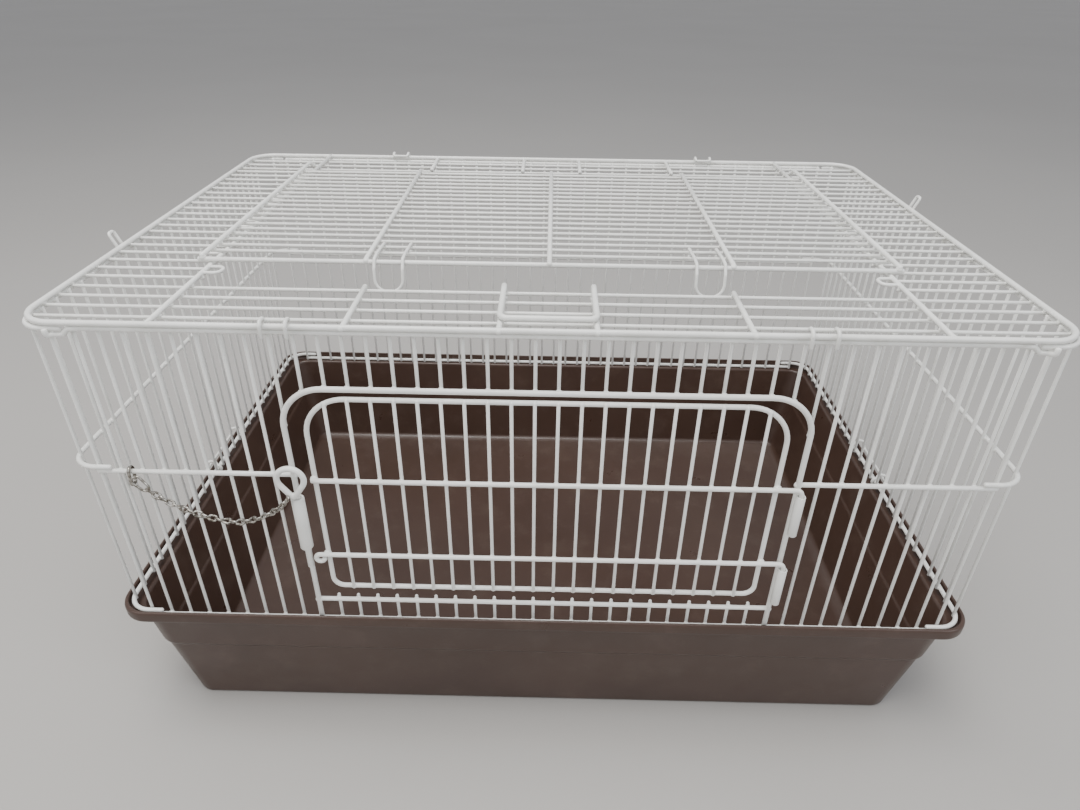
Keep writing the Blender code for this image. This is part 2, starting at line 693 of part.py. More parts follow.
# ------------------------------------------------------------------------------------------------
# top door, its clips, and the bail
# ------------------------------------------------------------------------------------------------
def build_top_door():
    front = wire([
        (-TOP_DOOR_SIDE_X - 3.0, TOP_DOOR_FRONT_Y, TOP_DOOR_FRONT_Z),
        (TOP_DOOR_SIDE_X + 3.0, TOP_DOOR_FRONT_Y, TOP_DOOR_FRONT_Z),
    ])
    loop = PICKET_R + 0.4 + RAIL_R
    sides = []
    for sign in (-1, 1):
        x = sign * TOP_DOOR_SIDE_X
        pivot = (x, TOP_HINGE_Y, TOP_HINGE_Z)
        curl = arc(pivot, loop, 100, -140, 8, "YZ")
        straight = [
            (x, TOP_DOOR_FRONT_Y - 1.2, TOP_DOOR_SIDE_Z), (x, TOP_HINGE_Y - 12.0, TOP_DOOR_SIDE_Z),
            tuple(curl[0]),
        ]
        sides.append(wire(fillet(straight, 4.0, 2) + curl[1:]))
    body("top_door_frame", [front], sides)

    rows = []
    for number in range(TOP_DOOR_ROWS):
        y = TOP_DOOR_FIRST_ROW_Y + number * TOP_DOOR_ROW_STEP
        rows.append(picket((-TOP_DOOR_SIDE_X, y, TOP_DOOR_ROW_Z), (TOP_DOOR_SIDE_X, y, TOP_DOOR_ROW_Z)))
    first_y = TOP_DOOR_FRONT_Y + RAIL_R + CLEAR
    last_y = TOP_DOOR_FIRST_ROW_Y + (TOP_DOOR_ROWS - 1) * TOP_DOOR_ROW_STEP + 3.0
    inner = [wire([(x, first_y, TOP_DOOR_INNER_Z), (x, last_y, TOP_DOOR_INNER_Z)]) for x in TOP_DOOR_INNER_X]
    body("top_door_grille", rows, inner)


def clip_path(x):
    """Curled on the door's second row, over the door's front wire, then a round loop hanging in front."""
    loop = PICKET_R + 0.35 + CLIP_R
    top = TOP_DOOR_ROW_Z + loop
    curl = arc((0, CLIP_PIVOT_Y, TOP_DOOR_ROW_Z), loop, -130, 90, 7, "YZ")
    over_wire = TOP_DOOR_FRONT_Z + RAIL_R + CLEAR + CLIP_R
    bend = fillet([
        (0, curl[-1].y, top), (0, TOP_DOOR_FRONT_Y + 10.0, over_wire + 0.4), (0, TOP_DOOR_FRONT_Y - 1.6, over_wire),
        (0, TOP_DOOR_FRONT_Y - 5.6, over_wire - 6.0), (0, TOP_DOOR_FRONT_Y - 8.0, over_wire - 21.5),
    ], 2.4, 3)
    leg = [(point.y, point.z) for point in curl] + [(point.y, point.z) for point in bend[1:]]
    left = [(x - CLIP_HALF_WIDTH, y, z) for y, z in leg]
    right = [(x + CLIP_HALF_WIDTH, y, z) for y, z in reversed(leg)]
    return left[:-1] + fillet([left[-2], left[-1], right[0], right[1]], CLIP_LOOP_RADIUS, 6)[1:-1] + right[1:]


def build_clips():
    for name, sign in (("top_clip_left", -1), ("top_clip_right", 1)):
        body(name, [wire(clip_path(sign * CLIP_X), CLIP_R, 6)])


def build_bail():
    """A heavy U of wire curled on the front strip's last row and lying forward over the strip."""
    loop = PICKET_R + 0.4 + FRAME_R
    curl = arc((0, BAIL_PIVOT_Y, STRIP_ROW_Z), loop, -150, 70, 7, "YZ")
    rise = [(BAIL_PIVOT_Y - 3.0, BAIL_Z + 0.6), (BAIL_PIVOT_Y - 9.0, BAIL_Z), (BAIL_FRONT_Y, BAIL_Z)]
    leg = [(point.y, point.z) for point in curl] + rise
    left = [(-CROSS_INNER_X, y, z) for y, z in leg]
    right = [(CROSS_INNER_X, y, z) for y, z in reversed(leg)]
    bend_from = len(curl) + 2
    middle = fillet(left[bend_from - 1:] + right[:-bend_from + 1], 5.0, 4)
    path = left[:bend_from - 1] + [tuple(point) for point in middle] + right[-bend_from + 1:]
    body("bail", [wire(path, FRAME_R, 8)])


def build():
    clear_scene()
    build_tray()
    build_clamps()
    build_front_panel()
    build_back_panel()
    build_side_panels()
    build_front_door()
    build_latch()
    build_chain()
    build_ring_frame()
    build_top_grilles()
    inner_end = RING_FRAME_Y - FRAME_R - CLEAR
    build_top_strip("top_strip_front", range(1, 5), -inner_end, 4, 3)
    build_top_strip("top_strip_rear", range(24, 27), inner_end, 24, 24)
    build_rests()
    build_hooks()
    build_top_door()
    build_clips()
    build_bail()


build()
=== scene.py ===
"""Looks of the wire cage: round coated wires with weld fillets, a moulded tray and a steel chain.

The wires follow the CAD solids, which they replace.  Lengths are in millimetres until a vertex is made,
which turns them into metres with MM.  +X is the right-hand side, -Y the front, +Z up.
"""
import json
import math

import bmesh
import bpy
from mathutils import Matrix, Vector


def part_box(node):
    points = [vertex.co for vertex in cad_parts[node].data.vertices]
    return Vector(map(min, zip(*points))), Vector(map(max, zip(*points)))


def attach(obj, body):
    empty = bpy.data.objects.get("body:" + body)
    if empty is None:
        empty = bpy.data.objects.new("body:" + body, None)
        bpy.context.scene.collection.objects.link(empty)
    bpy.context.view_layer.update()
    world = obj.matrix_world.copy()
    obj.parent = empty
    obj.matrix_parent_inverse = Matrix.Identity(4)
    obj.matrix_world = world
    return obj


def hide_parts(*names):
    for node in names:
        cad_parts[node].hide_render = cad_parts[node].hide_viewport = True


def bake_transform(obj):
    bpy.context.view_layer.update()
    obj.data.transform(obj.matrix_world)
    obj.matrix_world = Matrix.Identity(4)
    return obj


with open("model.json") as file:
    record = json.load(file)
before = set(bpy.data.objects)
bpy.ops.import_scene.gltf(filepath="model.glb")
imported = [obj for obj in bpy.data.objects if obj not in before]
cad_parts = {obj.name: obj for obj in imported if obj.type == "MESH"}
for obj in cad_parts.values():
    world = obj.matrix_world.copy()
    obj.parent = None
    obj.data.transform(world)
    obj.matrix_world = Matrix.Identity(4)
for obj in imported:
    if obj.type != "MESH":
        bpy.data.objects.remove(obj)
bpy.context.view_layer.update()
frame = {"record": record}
MM = 0.001


def centre(node):
    low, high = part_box(node)
    return (low + high) / (2 * MM)


def extent(node):
    """Lowest and highest corner of a CAD node, in millimetres."""
    low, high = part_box(node)
    return low / MM, high / MM


# --- wire sizes ---------------------------------------------------------------------------------
PITCH = 14.5
PICKET_R = 1.2
RAIL_R = 1.7
FRAME_R = 1.9
CLIP_R = 1.1
HOOK_R = 1.2
CLAMP_R = 1.3
WELD = 0.6
CLEAR = 0.3
PAST_RAIL = 1.0
CLIP_CURL_GAP = 0.35
HINGE_CURL_GAP = 0.4

# --- weld beads: radius of the coating where two wires cross ---------------------------------------
PICKET_WELD = 2.1
ROW_WELD = 2.1
POST_WELD = 2.9
FRAME_WELD = 2.8
LATCH_WELD = 2.7
CROSS_WELD = 2.6
INNER_WELD = 2.4
REST_WELD = 1.9

# --- upright panels -----------------------------------------------------------------------------
RAIL_STAND_OFF = PICKET_R + RAIL_R - WELD
FRONT_RAIL_Y = centre("front_rail_bottom").y
FRONT_Y = FRONT_RAIL_Y + RAIL_STAND_OFF
BACK_RAIL_Y = centre("back_rail_bottom").y
BACK_Y = BACK_RAIL_Y - RAIL_STAND_OFF
BOTTOM_Z = centre("front_rail_bottom").z
TOP_Z = centre("left_rail_top").z
SIDE_BOTTOM_Z = centre("left_rail_bottom").z
RAIL_END_X = extent("front_rail_bottom")[1].x
SIDE_RAIL_X = extent("right_rail_top")[1].x - RAIL_R
SIDE_X = SIDE_RAIL_X - RAIL_STAND_OFF
MID_Z = 242.0
SIDE_MID_Z = MID_Z + 2 * RAIL_R + CLEAR
RETURN_STAND_OFF = PICKET_R + RAIL_R + CLEAR
RETURN_END_X = 288.0
RETURN_RADIUS = 18.0
SIDE_PICKETS = 28
BACK_PICKETS_PER_SIDE = 21
FRONT_PICKETS_PER_SIDE = 9
HEADER_WIRES_PER_SIDE = 12
SILL_WIRES_PER_SIDE = 11
DOOR_WIRES_PER_SIDE = 10
FIRST_MIDDLE_WIRE = 0.5
FIRST_OUTER_WIRE = 12.5

# --- doorway ------------------------------------------------------------------------------------
POST_X = extent("front_arch")[1].x - FRAME_R
ARCH_Y = centre("front_arch").y
ARCH_TOP_Z = extent("front_arch")[1].z - FRAME_R
ARCH_RADIUS = 28.0
SILL_Z = 127.0
SILL_WIRE_PAST = 0.9

# --- front door and latch -----------------------------------------------------------------------
HINGE_X = centre("hinge_sleeve_lower").x
HINGE_Y = centre("hinge_sleeve_lower").y
SLEEVE_R = 3.1
SLEEVE_BORE_R = 2.15
SLEEVE_SIDES = 28
SLEEVE_SEAM = {"towards": 150, "width": 16}
DOOR_LOW, DOOR_HIGH = extent("door_frame")
DOOR_HALF_WIDTH = DOOR_HIGH.x - RAIL_R
DOOR_TOP_Z = DOOR_HIGH.z - RAIL_R
DOOR_BOTTOM_Z = DOOR_LOW.z + RAIL_R
DOOR_FRAME_Y = centre("door_frame").y
DOOR_WIRE_Y = HINGE_Y + RAIL_STAND_OFF
DOOR_TOP_RADIUS = 27.0
DOOR_BOTTOM_RADIUS = 8.0
DOOR_WIRE_PAST = 0.6
DOOR_RAILS_Z = (177.0, MID_Z)
PIN_BEND_RADIUS = 4.0
PIN_LENGTH = 31.5
EYE_RADIUS = 3.0
EYE_X = -157.2
BARREL_R = 4.4
BARREL_BORE_R = 2.5
BARREL_SEAM = {"towards": 62, "width": 14}
LATCH_PIN_R = 2.0
LATCH_X = centre("latch_barrel").x
LATCH_Y = centre("latch_barrel").y
LATCH_RING_CENTRE = (-165.4, LATCH_Y - 3.2, 246.0)
LATCH_RING_RADIUS = 8.8
LATCH_RING_TAPER_DEGREES = 35.0
LATCH_RING_R = 1.95
LATCH_RING_POINT_RADIUS = 2.4

# --- chain: the route of its solid, then the links ------------------------------------------------
CHAIN_ROUTE = [
    (-271.5, -213.4, 241.0), (-266.5, -213.4, 234.0), (-261.5, -213.4, 228.0), (-252.0, -213.4, 220.5),
    (-243.0, -213.4, 215.0), (-232.0, -213.4, 210.0), (-219.0, -213.6, 206.3), (-207.0, -214.4, 205.8),
    (-194.0, -216.0, 210.5), (-182.0, -218.6, 218.5), (-173.5, -221.3, 226.0), (-167.2, -222.4, 234.5),
]
CHAIN_WIDTH = 5.0
LINK_LENGTH = 7.2
LINK_WIRE_R = 0.78
LINK_STEP = 4.9
END_LINK_LENGTH = 14.5
END_LINK_WIDTH = 8.6
END_LINK_WIRE_R = 0.85
END_LINK_MIDDLE = 0.42 * END_LINK_LENGTH
FIRST_LINK_START = 0.78 * END_LINK_LENGTH
LINK_LEAN = 0.4
LINK_ROLL_DEGREES = (38, 114)
LINK_LOOSE_DEGREES = 12
ANCHOR_X = centre("chain_anchor").x
ANCHOR_WIRE_R = 1.1
ANCHOR_LEAN = 1.4
ANCHOR_CORNER = 2.6

# --- top panel ----------------------------------------------------------------------------------
RING_X = 315.0
RING_Y = 208.5
RING_Z = centre("top_frame").z
RING_RADIUS = 22.0
RING_ROWS = 27
ROW_STEP = 2 * RING_Y / RING_ROWS
FRONT_STRIP_ROWS = range(1, 5)
GRILLE_ROWS = range(5, 24)
REAR_STRIP_ROWS = range(24, 27)
ROW_PAST_FRAME = 0.4
GRILLE_ROW_Z = 349.0
STRIP_ROW_Z = GRILLE_ROW_Z + RAIL_STAND_OFF - RAIL_R - CLEAR - PICKET_R
OPENING_X = 235.5
OPENING_Z = GRILLE_ROW_Z + RAIL_STAND_OFF
CROSS_Z = STRIP_ROW_Z + RAIL_STAND_OFF
CROSS_INNER_X = 29.0
CROSS_OUTER_X = 121.0
REST_Y = (-117.0, -128.0)
REST_REACH = 10.0
CLOSED_HOOK = [(4.0, -5.6), (4.1, 2.0), (1.6, 4.3), (-2.2, 4.3), (-4.4, 2.2)]
CLOSED_HOOK_HALF_WIDTH = 7.5
SWUNG_UP_HOOK = [(2.2, -7.2), (5.2, -6.4), (5.6, -1.0), (9.4, 8.4)]
SWUNG_UP_HOOK_HALF_WIDTH = 3.4
HOOK_BEND_RADIUS = 2.1

# --- top door, clips and bail -------------------------------------------------------------------
TOP_HINGE_Y = -RING_Y + REAR_STRIP_ROWS[0] * ROW_STEP
TOP_DOOR_FRONT_Y = -112.0
TOP_DOOR_SIDE_X = 240.5
TOP_DOOR_ROW_Z = OPENING_Z + RAIL_R + CLEAR + PICKET_R
TOP_DOOR_FRONT_Z = OPENING_Z + RAIL_R + CLEAR + RAIL_R
TOP_DOOR_SIDE_Z = TOP_DOOR_FRONT_Z + 2 * RAIL_R - WELD
TOP_DOOR_INNER_Z = TOP_DOOR_ROW_Z + RAIL_STAND_OFF
TOP_DOOR_INNER_X = (-127.0, 0.0, 127.0)
TOP_DOOR_ROWS = 19
TOP_DOOR_FIRST_ROW_Y = -93.0
TOP_DOOR_ROW_STEP = 12.3
CLIP_X = 111.0
CLIP_HALF_WIDTH = 9.8
CLIP_LOOP_RADIUS = 8.5
CLIP_PIVOT_Y = TOP_DOOR_FIRST_ROW_Y + TOP_DOOR_ROW_STEP
BAIL_PIVOT_Y = -RING_Y + FRONT_STRIP_ROWS[-1] * ROW_STEP
BAIL_FRONT_Y = -198.0
BAIL_Z = CROSS_Z + RAIL_R + CLEAR + FRAME_R

# --- tray: (inset from the outer rim, height) pairs, outside then inside --------------------------
TRAY_HALF_X = extent("tray")[1].x
TRAY_HALF_Y = extent("tray")[1].y
TRAY_CORNER = 21.0
TRAY_LEDGE_Z = 105.0
TRAY_END_LEAN = 12.0
TRAY_PROFILE = [
    (20.0, 0.0), (17.8, 1.6), (12.4, 65.6), (10.8, 68.0), (8.6, 103.2), (0.7, 103.2), (0.0, 104.4),
    (0.0, 111.2), (0.6, 112.6), (1.4, 113.0),
    (2.1, 113.0), (2.6, 112.4), (2.8, 105.0), (9.8, 105.0), (11.2, 103.4), (13.8, 68.0), (15.4, 65.6),
    (20.8, 6.4), (23.8, 3.4),
]

# --- clamps -------------------------------------------------------------------------------------
CLAMP_HALF_LENGTH = 2 * PITCH
CLAMP_PIVOT_Z = SIDE_BOTTOM_Z


# ------------------------------------------------------------------------------------------------
# paths
# ------------------------------------------------------------------------------------------------
def rounded_corner(before, corner, after, radius, steps):
    to_before = (before - corner).normalized()
    to_after = (after - corner).normalized()
    half_angle = to_before.angle(to_after) / 2
    reach = radius / math.tan(half_angle)
    middle = corner + (to_before + to_after).normalized() * (radius / math.sin(half_angle))
    start = corner + to_before * reach - middle
    finish = corner + to_after * reach - middle
    return [middle + start.slerp(finish, step / steps).normalized() * radius for step in range(steps + 1)]


def fillet(points, radius, steps=7):
    """The polyline through points with every inner corner rounded by an arc of the given radius."""
    corners = [Vector(point) for point in points]
    path = [corners[0]]
    for before, corner, after in zip(corners, corners[1:], corners[2:]):
        path.extend(rounded_corner(before, corner, after, radius, steps))
    path.append(corners[-1])
    return path


def closed_fillet(points, radii, steps=9):
    """A closed loop through points, with one corner radius per point."""
    corners = [Vector(point) for point in points]
    count = len(corners)
    path = []
    for index in range(count):
        after = corners[(index + 1) % count]
        path.extend(rounded_corner(corners[index - 1], corners[index], after, radii[index], steps))
    return path


def arc(middle, radius, first_degrees, last_degrees, steps, plane):
    """Points on a circle; plane is "XZ" or "YZ" and angles grow from the first axis to Z."""
    points = []
    for step in range(steps + 1):
        angle = math.radians(first_degrees + (last_degrees - first_degrees) * step / steps)
        along = radius * math.cos(angle)
        up = radius * math.sin(angle)
        offset = Vector((along, 0, up)) if plane == "XZ" else Vector((0, along, up))
        points.append(Vector(middle) + offset)
    return points


def mirrored(points, sign):
    return [(sign * x, y, z) for x, y, z in points]


# ------------------------------------------------------------------------------------------------
# mesh building
# ------------------------------------------------------------------------------------------------
def add_ring(mesh, middle, normal, binormal, radius, sides):
    ring = []
    for side in range(sides):
        angle = 2 * math.pi * side / sides
        offset = normal * math.cos(angle) + binormal * math.sin(angle)
        ring.append(mesh.verts.new((middle + offset * radius) * MM))
    return ring


def bridge(mesh, lower, upper):
    sides = len(lower)
    for side in range(sides):
        after = (side + 1) % sides
        mesh.faces.new((lower[side], lower[after], upper[after], upper[side]))


def add_wire(mesh, path, radius, closed=False, sides=12):
    """Sweep one round wire along path, with domed ends where it is open."""
    points = [Vector(point) for point in path]
    count = len(points)
    tangents = []
    for index, point in enumerate(points):
        after = points[(index + 1) % count] if closed or index < count - 1 else point
        before = points[index - 1] if closed or index > 0 else point
        tangents.append((after - before).normalized())
    helper = Vector((0, 0, 1)) if abs(tangents[0].z) < 0.9 else Vector((1, 0, 0))
    normals = [tangents[0].cross(helper).normalized()]
    for before, after in zip(tangents, tangents[1:]):
        carried = before.rotation_difference(after) @ normals[-1]
        normals.append((carried - after * carried.dot(after)).normalized())
    twist = 0.0
    if closed:
        carried = tangents[-1].rotation_difference(tangents[0]) @ normals[-1]
        twist = math.atan2(tangents[0].dot(carried.cross(normals[0])), carried.dot(normals[0]))
    rings = []
    for index, point in enumerate(points):
        turned = Matrix.Rotation(twist * index / count, 3, tangents[index]) @ normals[index]
        rings.append(add_ring(mesh, point, turned, tangents[index].cross(turned), radius, sides))
    for lower, upper in zip(rings, rings[1:]):
        bridge(mesh, lower, upper)
    if closed:
        bridge(mesh, rings[-1], rings[0])
        return
    add_dome(mesh, rings[0], points[0], -tangents[0], radius)
    add_dome(mesh, rings[-1], points[-1], tangents[-1], radius)


def add_dome(mesh, ring, middle, outward, radius):
    """Close a wire's end with a low dome, as a dipped coating leaves it."""
    rim = ring
    for share in (0.45, 0.8):
        shrunk = []
        for vert in ring:
            from_middle = vert.co / MM - middle
            height = radius * 0.55 * math.sin(share * math.pi / 2)
            shrunk.append(mesh.verts.new(
                (middle + from_middle * math.cos(share * math.pi / 2) + outward * height) * MM))
        bridge(mesh, rim, shrunk)
        rim = shrunk
    mesh.faces.new(rim)


def add_weld(mesh, place, along, across, size):
    """A small flattened bead of coating where two wires cross."""
    along = Vector(along).normalized()
    across = Vector(across).normalized()
    through = along.cross(across).normalized()
    basis = Matrix((along, across, through)).transposed() @ Matrix.Diagonal((size, size, size * 0.8))
    transform = Matrix.Translation(Vector(place) * MM) @ (basis * MM).to_4x4()
    bmesh.ops.create_uvsphere(mesh, u_segments=8, v_segments=6, radius=1.0, matrix=transform)


def make_piece(name, mesh, body, node, material):
    bmesh.ops.recalc_face_normals(mesh, faces=mesh.faces)
    data = bpy.data.meshes.new(name)
    mesh.to_mesh(data)
    mesh.free()
    for polygon in data.polygons:
        polygon.use_smooth = True
    piece = bpy.data.objects.new(name, data)
    bpy.context.scene.collection.objects.link(piece)
    data.materials.append(material)
    if body:
        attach(piece, body)
    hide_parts(node)
    return piece


def body_of(node):
    for name, nodes in frame["record"]["behaviour"]["bodies"].items():
        if node in nodes:
            return name
    raise ValueError(node)


X_AXIS = (1, 0, 0)
Y_AXIS = (0, 1, 0)
Z_AXIS = (0, 0, 1)


class Wires:
    """The wires and welds of one CAD node, gathered into one mesh."""

    def __init__(self, node):
        self.node = node
        self.mesh = bmesh.new()

    def wire(self, path, radius=RAIL_R, closed=False, sides=12):
        add_wire(self.mesh, path, radius, closed, sides)

    def picket(self, start, finish):
        add_wire(self.mesh, [start, finish], PICKET_R, False, 10)

    def weld(self, place, along, across, size=PICKET_WELD):
        add_weld(self.mesh, place, along, across, size)

    def done(self, material=None):
        name = f"{self.node}_look"
        return make_piece(name, self.mesh, body_of(self.node), self.node, material or COATED)


# ------------------------------------------------------------------------------------------------
# materials
# ------------------------------------------------------------------------------------------------
class Nodes:
    """A small helper that adds and links shader nodes of one material."""

    def __init__(self, name):
        self.material = bpy.data.materials.new(name)
        self.material.use_nodes = True
        self.tree = self.material.node_tree
        self.tree.nodes.clear()
        self.shader = self.add("ShaderNodeBsdfPrincipled")
        output = self.add("ShaderNodeOutputMaterial")
        self.link(self.shader, "BSDF", output, "Surface")
        self.place = self.add("ShaderNodeTexCoord")

    def add(self, kind, **values):
        node = self.tree.nodes.new(kind)
        for key, value in values.items():
            setattr(node, key, value)
        return node

    def link(self, source, output, target, socket):
        self.tree.links.new(source.outputs[output], target.inputs[socket])

    def noise(self, scale, detail=3.0, roughness=0.5, stretch=None):
        texture = self.add("ShaderNodeTexNoise")
        texture.inputs["Scale"].default_value = scale
        texture.inputs["Detail"].default_value = detail
        texture.inputs["Roughness"].default_value = roughness
        if stretch:
            mapping = self.add("ShaderNodeMapping")
            mapping.inputs["Scale"].default_value = stretch
            self.link(self.place, "Object", mapping, "Vector")
            self.link(mapping, "Vector", texture, "Vector")
        else:
            self.link(self.place, "Object", texture, "Vector")
        return texture

    def ramp(self, source, stops):
        ramp = self.add("ShaderNodeValToRGB")
        elements = ramp.color_ramp.elements
        while len(elements) < len(stops):
            elements.new(0.5)
        for element, (position, colour) in zip(elements, stops):
            element.position = position
            element.color = (*colour, 1.0)
        self.link(source, "Fac", ramp, "Fac")
        return ramp

    def stain(self, base, mask, colour):
        """The base colour, turned towards another colour where the mask is light."""
        mix = self.add("ShaderNodeMix", data_type="RGBA", blend_type="MIX")
        self.link(mask, "Color", mix, "Factor")
        self.tree.links.new(base, mix.inputs[6])
        mix.inputs[7].default_value = (*colour, 1.0)
        return mix.outputs[2]

    def bump(self, source, strength, distance, before=None):
        bump = self.add("ShaderNodeBump")
        bump.inputs["Strength"].default_value = strength
        bump.inputs["Distance"].default_value = distance
        self.link(source, "Fac" if "Fac" in source.outputs else "Color", bump, "Height")
        if before:
            self.link(before, "Normal", bump, "Normal")
        return bump


def grey(value):
    return (value, value, value)


def coated_material():
    """White dipped coating on steel wire: slight orange peel, uneven gloss and faint grime."""
    nodes = Nodes("white_wire_coating")
    tone = nodes.ramp(nodes.noise(60.0, 4.0), [(0.32, (0.80, 0.80, 0.765)), (0.68, (0.88, 0.88, 0.85))])
    grime = nodes.ramp(nodes.noise(24.0, 6.0, 0.65), [(0.60, (0, 0, 0)), (0.78, grey(0.45))])
    stained = nodes.stain(tone.outputs["Color"], grime, (0.56, 0.54, 0.47))
    nodes.tree.links.new(stained, nodes.shader.inputs["Base Color"])
    gloss = nodes.ramp(nodes.noise(140.0, 3.0), [(0.3, grey(0.27)), (0.75, grey(0.46))])
    nodes.link(gloss, "Color", nodes.shader, "Roughness")
    peel = nodes.bump(nodes.noise(700.0, 2.0), 0.25, 0.0002)
    runs = nodes.bump(nodes.noise(160.0, 3.0, 0.5, (1.0, 1.0, 0.35)), 0.35, 0.0004, peel)
    nodes.link(runs, "Normal", nodes.shader, "Normal")
    nodes.shader.inputs["Coat Weight"].default_value = 0.25
    nodes.shader.inputs["Coat Roughness"].default_value = 0.18
    return nodes.material


def tray_material():
    """Brown moulded plastic with fine grain, dull scuffs, scratches and a little dust."""
    nodes = Nodes("brown_tray_plastic")
    tone = nodes.ramp(nodes.noise(9.0, 5.0), [(0.3, (0.052, 0.029, 0.021)), (0.7, (0.066, 0.038, 0.028))])
    dust = nodes.ramp(nodes.noise(38.0, 8.0, 0.7), [(0.52, (0, 0, 0)), (0.80, grey(0.16))])
    dusty = nodes.stain(tone.outputs["Color"], dust, (0.22, 0.17, 0.14))
    scratch = nodes.noise(55.0, 9.0, 0.75, (0.25, 6.0, 6.0))
    scratches = nodes.ramp(scratch, [(0.66, (0, 0, 0)), (0.74, grey(0.22))])
    scratched = nodes.stain(dusty, scratches, (0.20, 0.14, 0.11))
    nodes.tree.links.new(scratched, nodes.shader.inputs["Base Color"])
    gloss = nodes.ramp(nodes.noise(30.0, 5.0, 0.6), [(0.3, grey(0.27)), (0.75, grey(0.42))])
    nodes.link(gloss, "Color", nodes.shader, "Roughness")
    grain = nodes.bump(nodes.noise(1100.0, 2.0), 0.22, 0.0003)
    wave = nodes.bump(nodes.noise(7.0, 2.0), 0.12, 0.004, grain)
    nodes.link(wave, "Normal", nodes.shader, "Normal")
    nodes.shader.inputs["Specular IOR Level"].default_value = 0.5
    return nodes.material


def steel_material():
    """Nickel-plated steel chain, darker in its tarnished patches."""
    nodes = Nodes("nickel_plated_steel")
    tone = nodes.ramp(nodes.noise(420.0, 4.0), [(0.35, (0.17, 0.15, 0.125)), (0.65, (0.55, 0.53, 0.49))])
    nodes.link(tone, "Color", nodes.shader, "Base Color")
    gloss = nodes.ramp(nodes.noise(300.0, 3.0), [(0.3, grey(0.22)), (0.7, grey(0.42))])
    nodes.link(gloss, "Color", nodes.shader, "Roughness")
    nodes.link(nodes.bump(nodes.noise(900.0, 2.0), 0.3, 0.0002), "Normal", nodes.shader, "Normal")
    nodes.shader.inputs["Metallic"].default_value = 1.0
    return nodes.material


COATED = coated_material()
TRAY_PLASTIC = tray_material()
STEEL = steel_material()


# ------------------------------------------------------------------------------------------------
# camera, light and floor
# ------------------------------------------------------------------------------------------------
CAMERA_PLACE = (0.0, -0.595, 0.539)
CAMERA_PITCH_DOWN = math.radians(31.656)
CAMERA_YAW = math.radians(-0.617)
CAMERA_ROLL = math.radians(0.796)
CAMERA_FOCAL_SHARE = 734.27 / 1080
SENSOR_MM = 36.0


def make_camera():
    forward = Vector((
        math.sin(CAMERA_YAW) * math.cos(CAMERA_PITCH_DOWN),
        math.cos(CAMERA_YAW) * math.cos(CAMERA_PITCH_DOWN),
        -math.sin(CAMERA_PITCH_DOWN),
    ))
    level_right = forward.cross(Vector(Z_AXIS)).normalized()
    level_up = level_right.cross(forward)
    right = level_right * math.cos(CAMERA_ROLL) + level_up * math.sin(CAMERA_ROLL)
    up = right.cross(forward)
    data = bpy.data.cameras.new("camera")
    data.sensor_width = SENSOR_MM
    data.lens = SENSOR_MM * CAMERA_FOCAL_SHARE
    data.clip_end = 100.0
    camera = bpy.data.objects.new("camera", data)
    axes = Matrix((right, up, -forward)).transposed().to_4x4()
    camera.matrix_world = Matrix.Translation(CAMERA_PLACE) @ axes
    bpy.context.scene.collection.objects.link(camera)
    bpy.context.scene.camera = camera


def add_light(name, place, target, size, watts, colour):
    data = bpy.data.lights.new(name, "AREA")
    data.shape = "RECTANGLE"
    data.size = size[0]
    data.size_y = size[1]
    data.energy = watts
    data.color = colour
    light = bpy.data.objects.new(name, data)
    light.location = place
    toward = Vector(target) - Vector(place)
    light.rotation_euler = toward.to_track_quat("-Z", "Y").to_euler()
    bpy.context.scene.collection.objects.link(light)


def make_lights():
    add_light("ceiling", (-0.35, -0.25, 2.2), (0, 0, 0.1), (1.5, 1.2), 52.0, (1.0, 0.985, 0.96))
    add_light("window", (1.9, -1.5, 1.5), (0, 0, 0.15), (1.4, 1.4), 26.0, (0.93, 0.96, 1.0))
    add_light("room", (-1.9, -1.6, 1.3), (0, 0, 0.15), (1.6, 1.4), 18.0, (1.0, 0.97, 0.93))
    world = bpy.data.worlds.new("world")
    world.use_nodes = True
    background = world.node_tree.nodes["Background"]
    background.inputs["Color"].default_value = (0.93, 0.95, 1.0, 1.0)
    background.inputs["Strength"].default_value = 0.62
    bpy.context.scene.world = world


def make_floor():
    mesh = bmesh.new()
    bmesh.ops.create_grid(mesh, x_segments=2, y_segments=2, size=30.0)
    data = bpy.data.meshes.new("floor")
    mesh.to_mesh(data)
    mesh.free()
    floor = bpy.data.objects.new("floor", data)
    bpy.context.scene.collection.objects.link(floor)
    nodes = Nodes("pale_floor")
    tone = nodes.ramp(nodes.noise(1.2, 3.0), [(0.3, (0.40, 0.385, 0.365)), (0.7, (0.42, 0.405, 0.385))])
    nodes.link(tone, "Color", nodes.shader, "Base Color")
    nodes.shader.inputs["Roughness"].default_value = 0.6
    data.materials.append(nodes.material)


# ------------------------------------------------------------------------------------------------
# chain and its anchor link
# ------------------------------------------------------------------------------------------------
def along_route(points, distance):
    """The place and direction at a distance along a polyline."""
    left = distance
    for start, finish in zip(points, points[1:]):
        step = finish - start
        if left <= step.length:
            return start + step.normalized() * left, step.normalized()
        left -= step.length
    step = (points[-1] - points[-2]).normalized()
    return points[-1] + step * left, step


def route_length(points):
    return sum((finish - start).length for start, finish in zip(points, points[1:]))


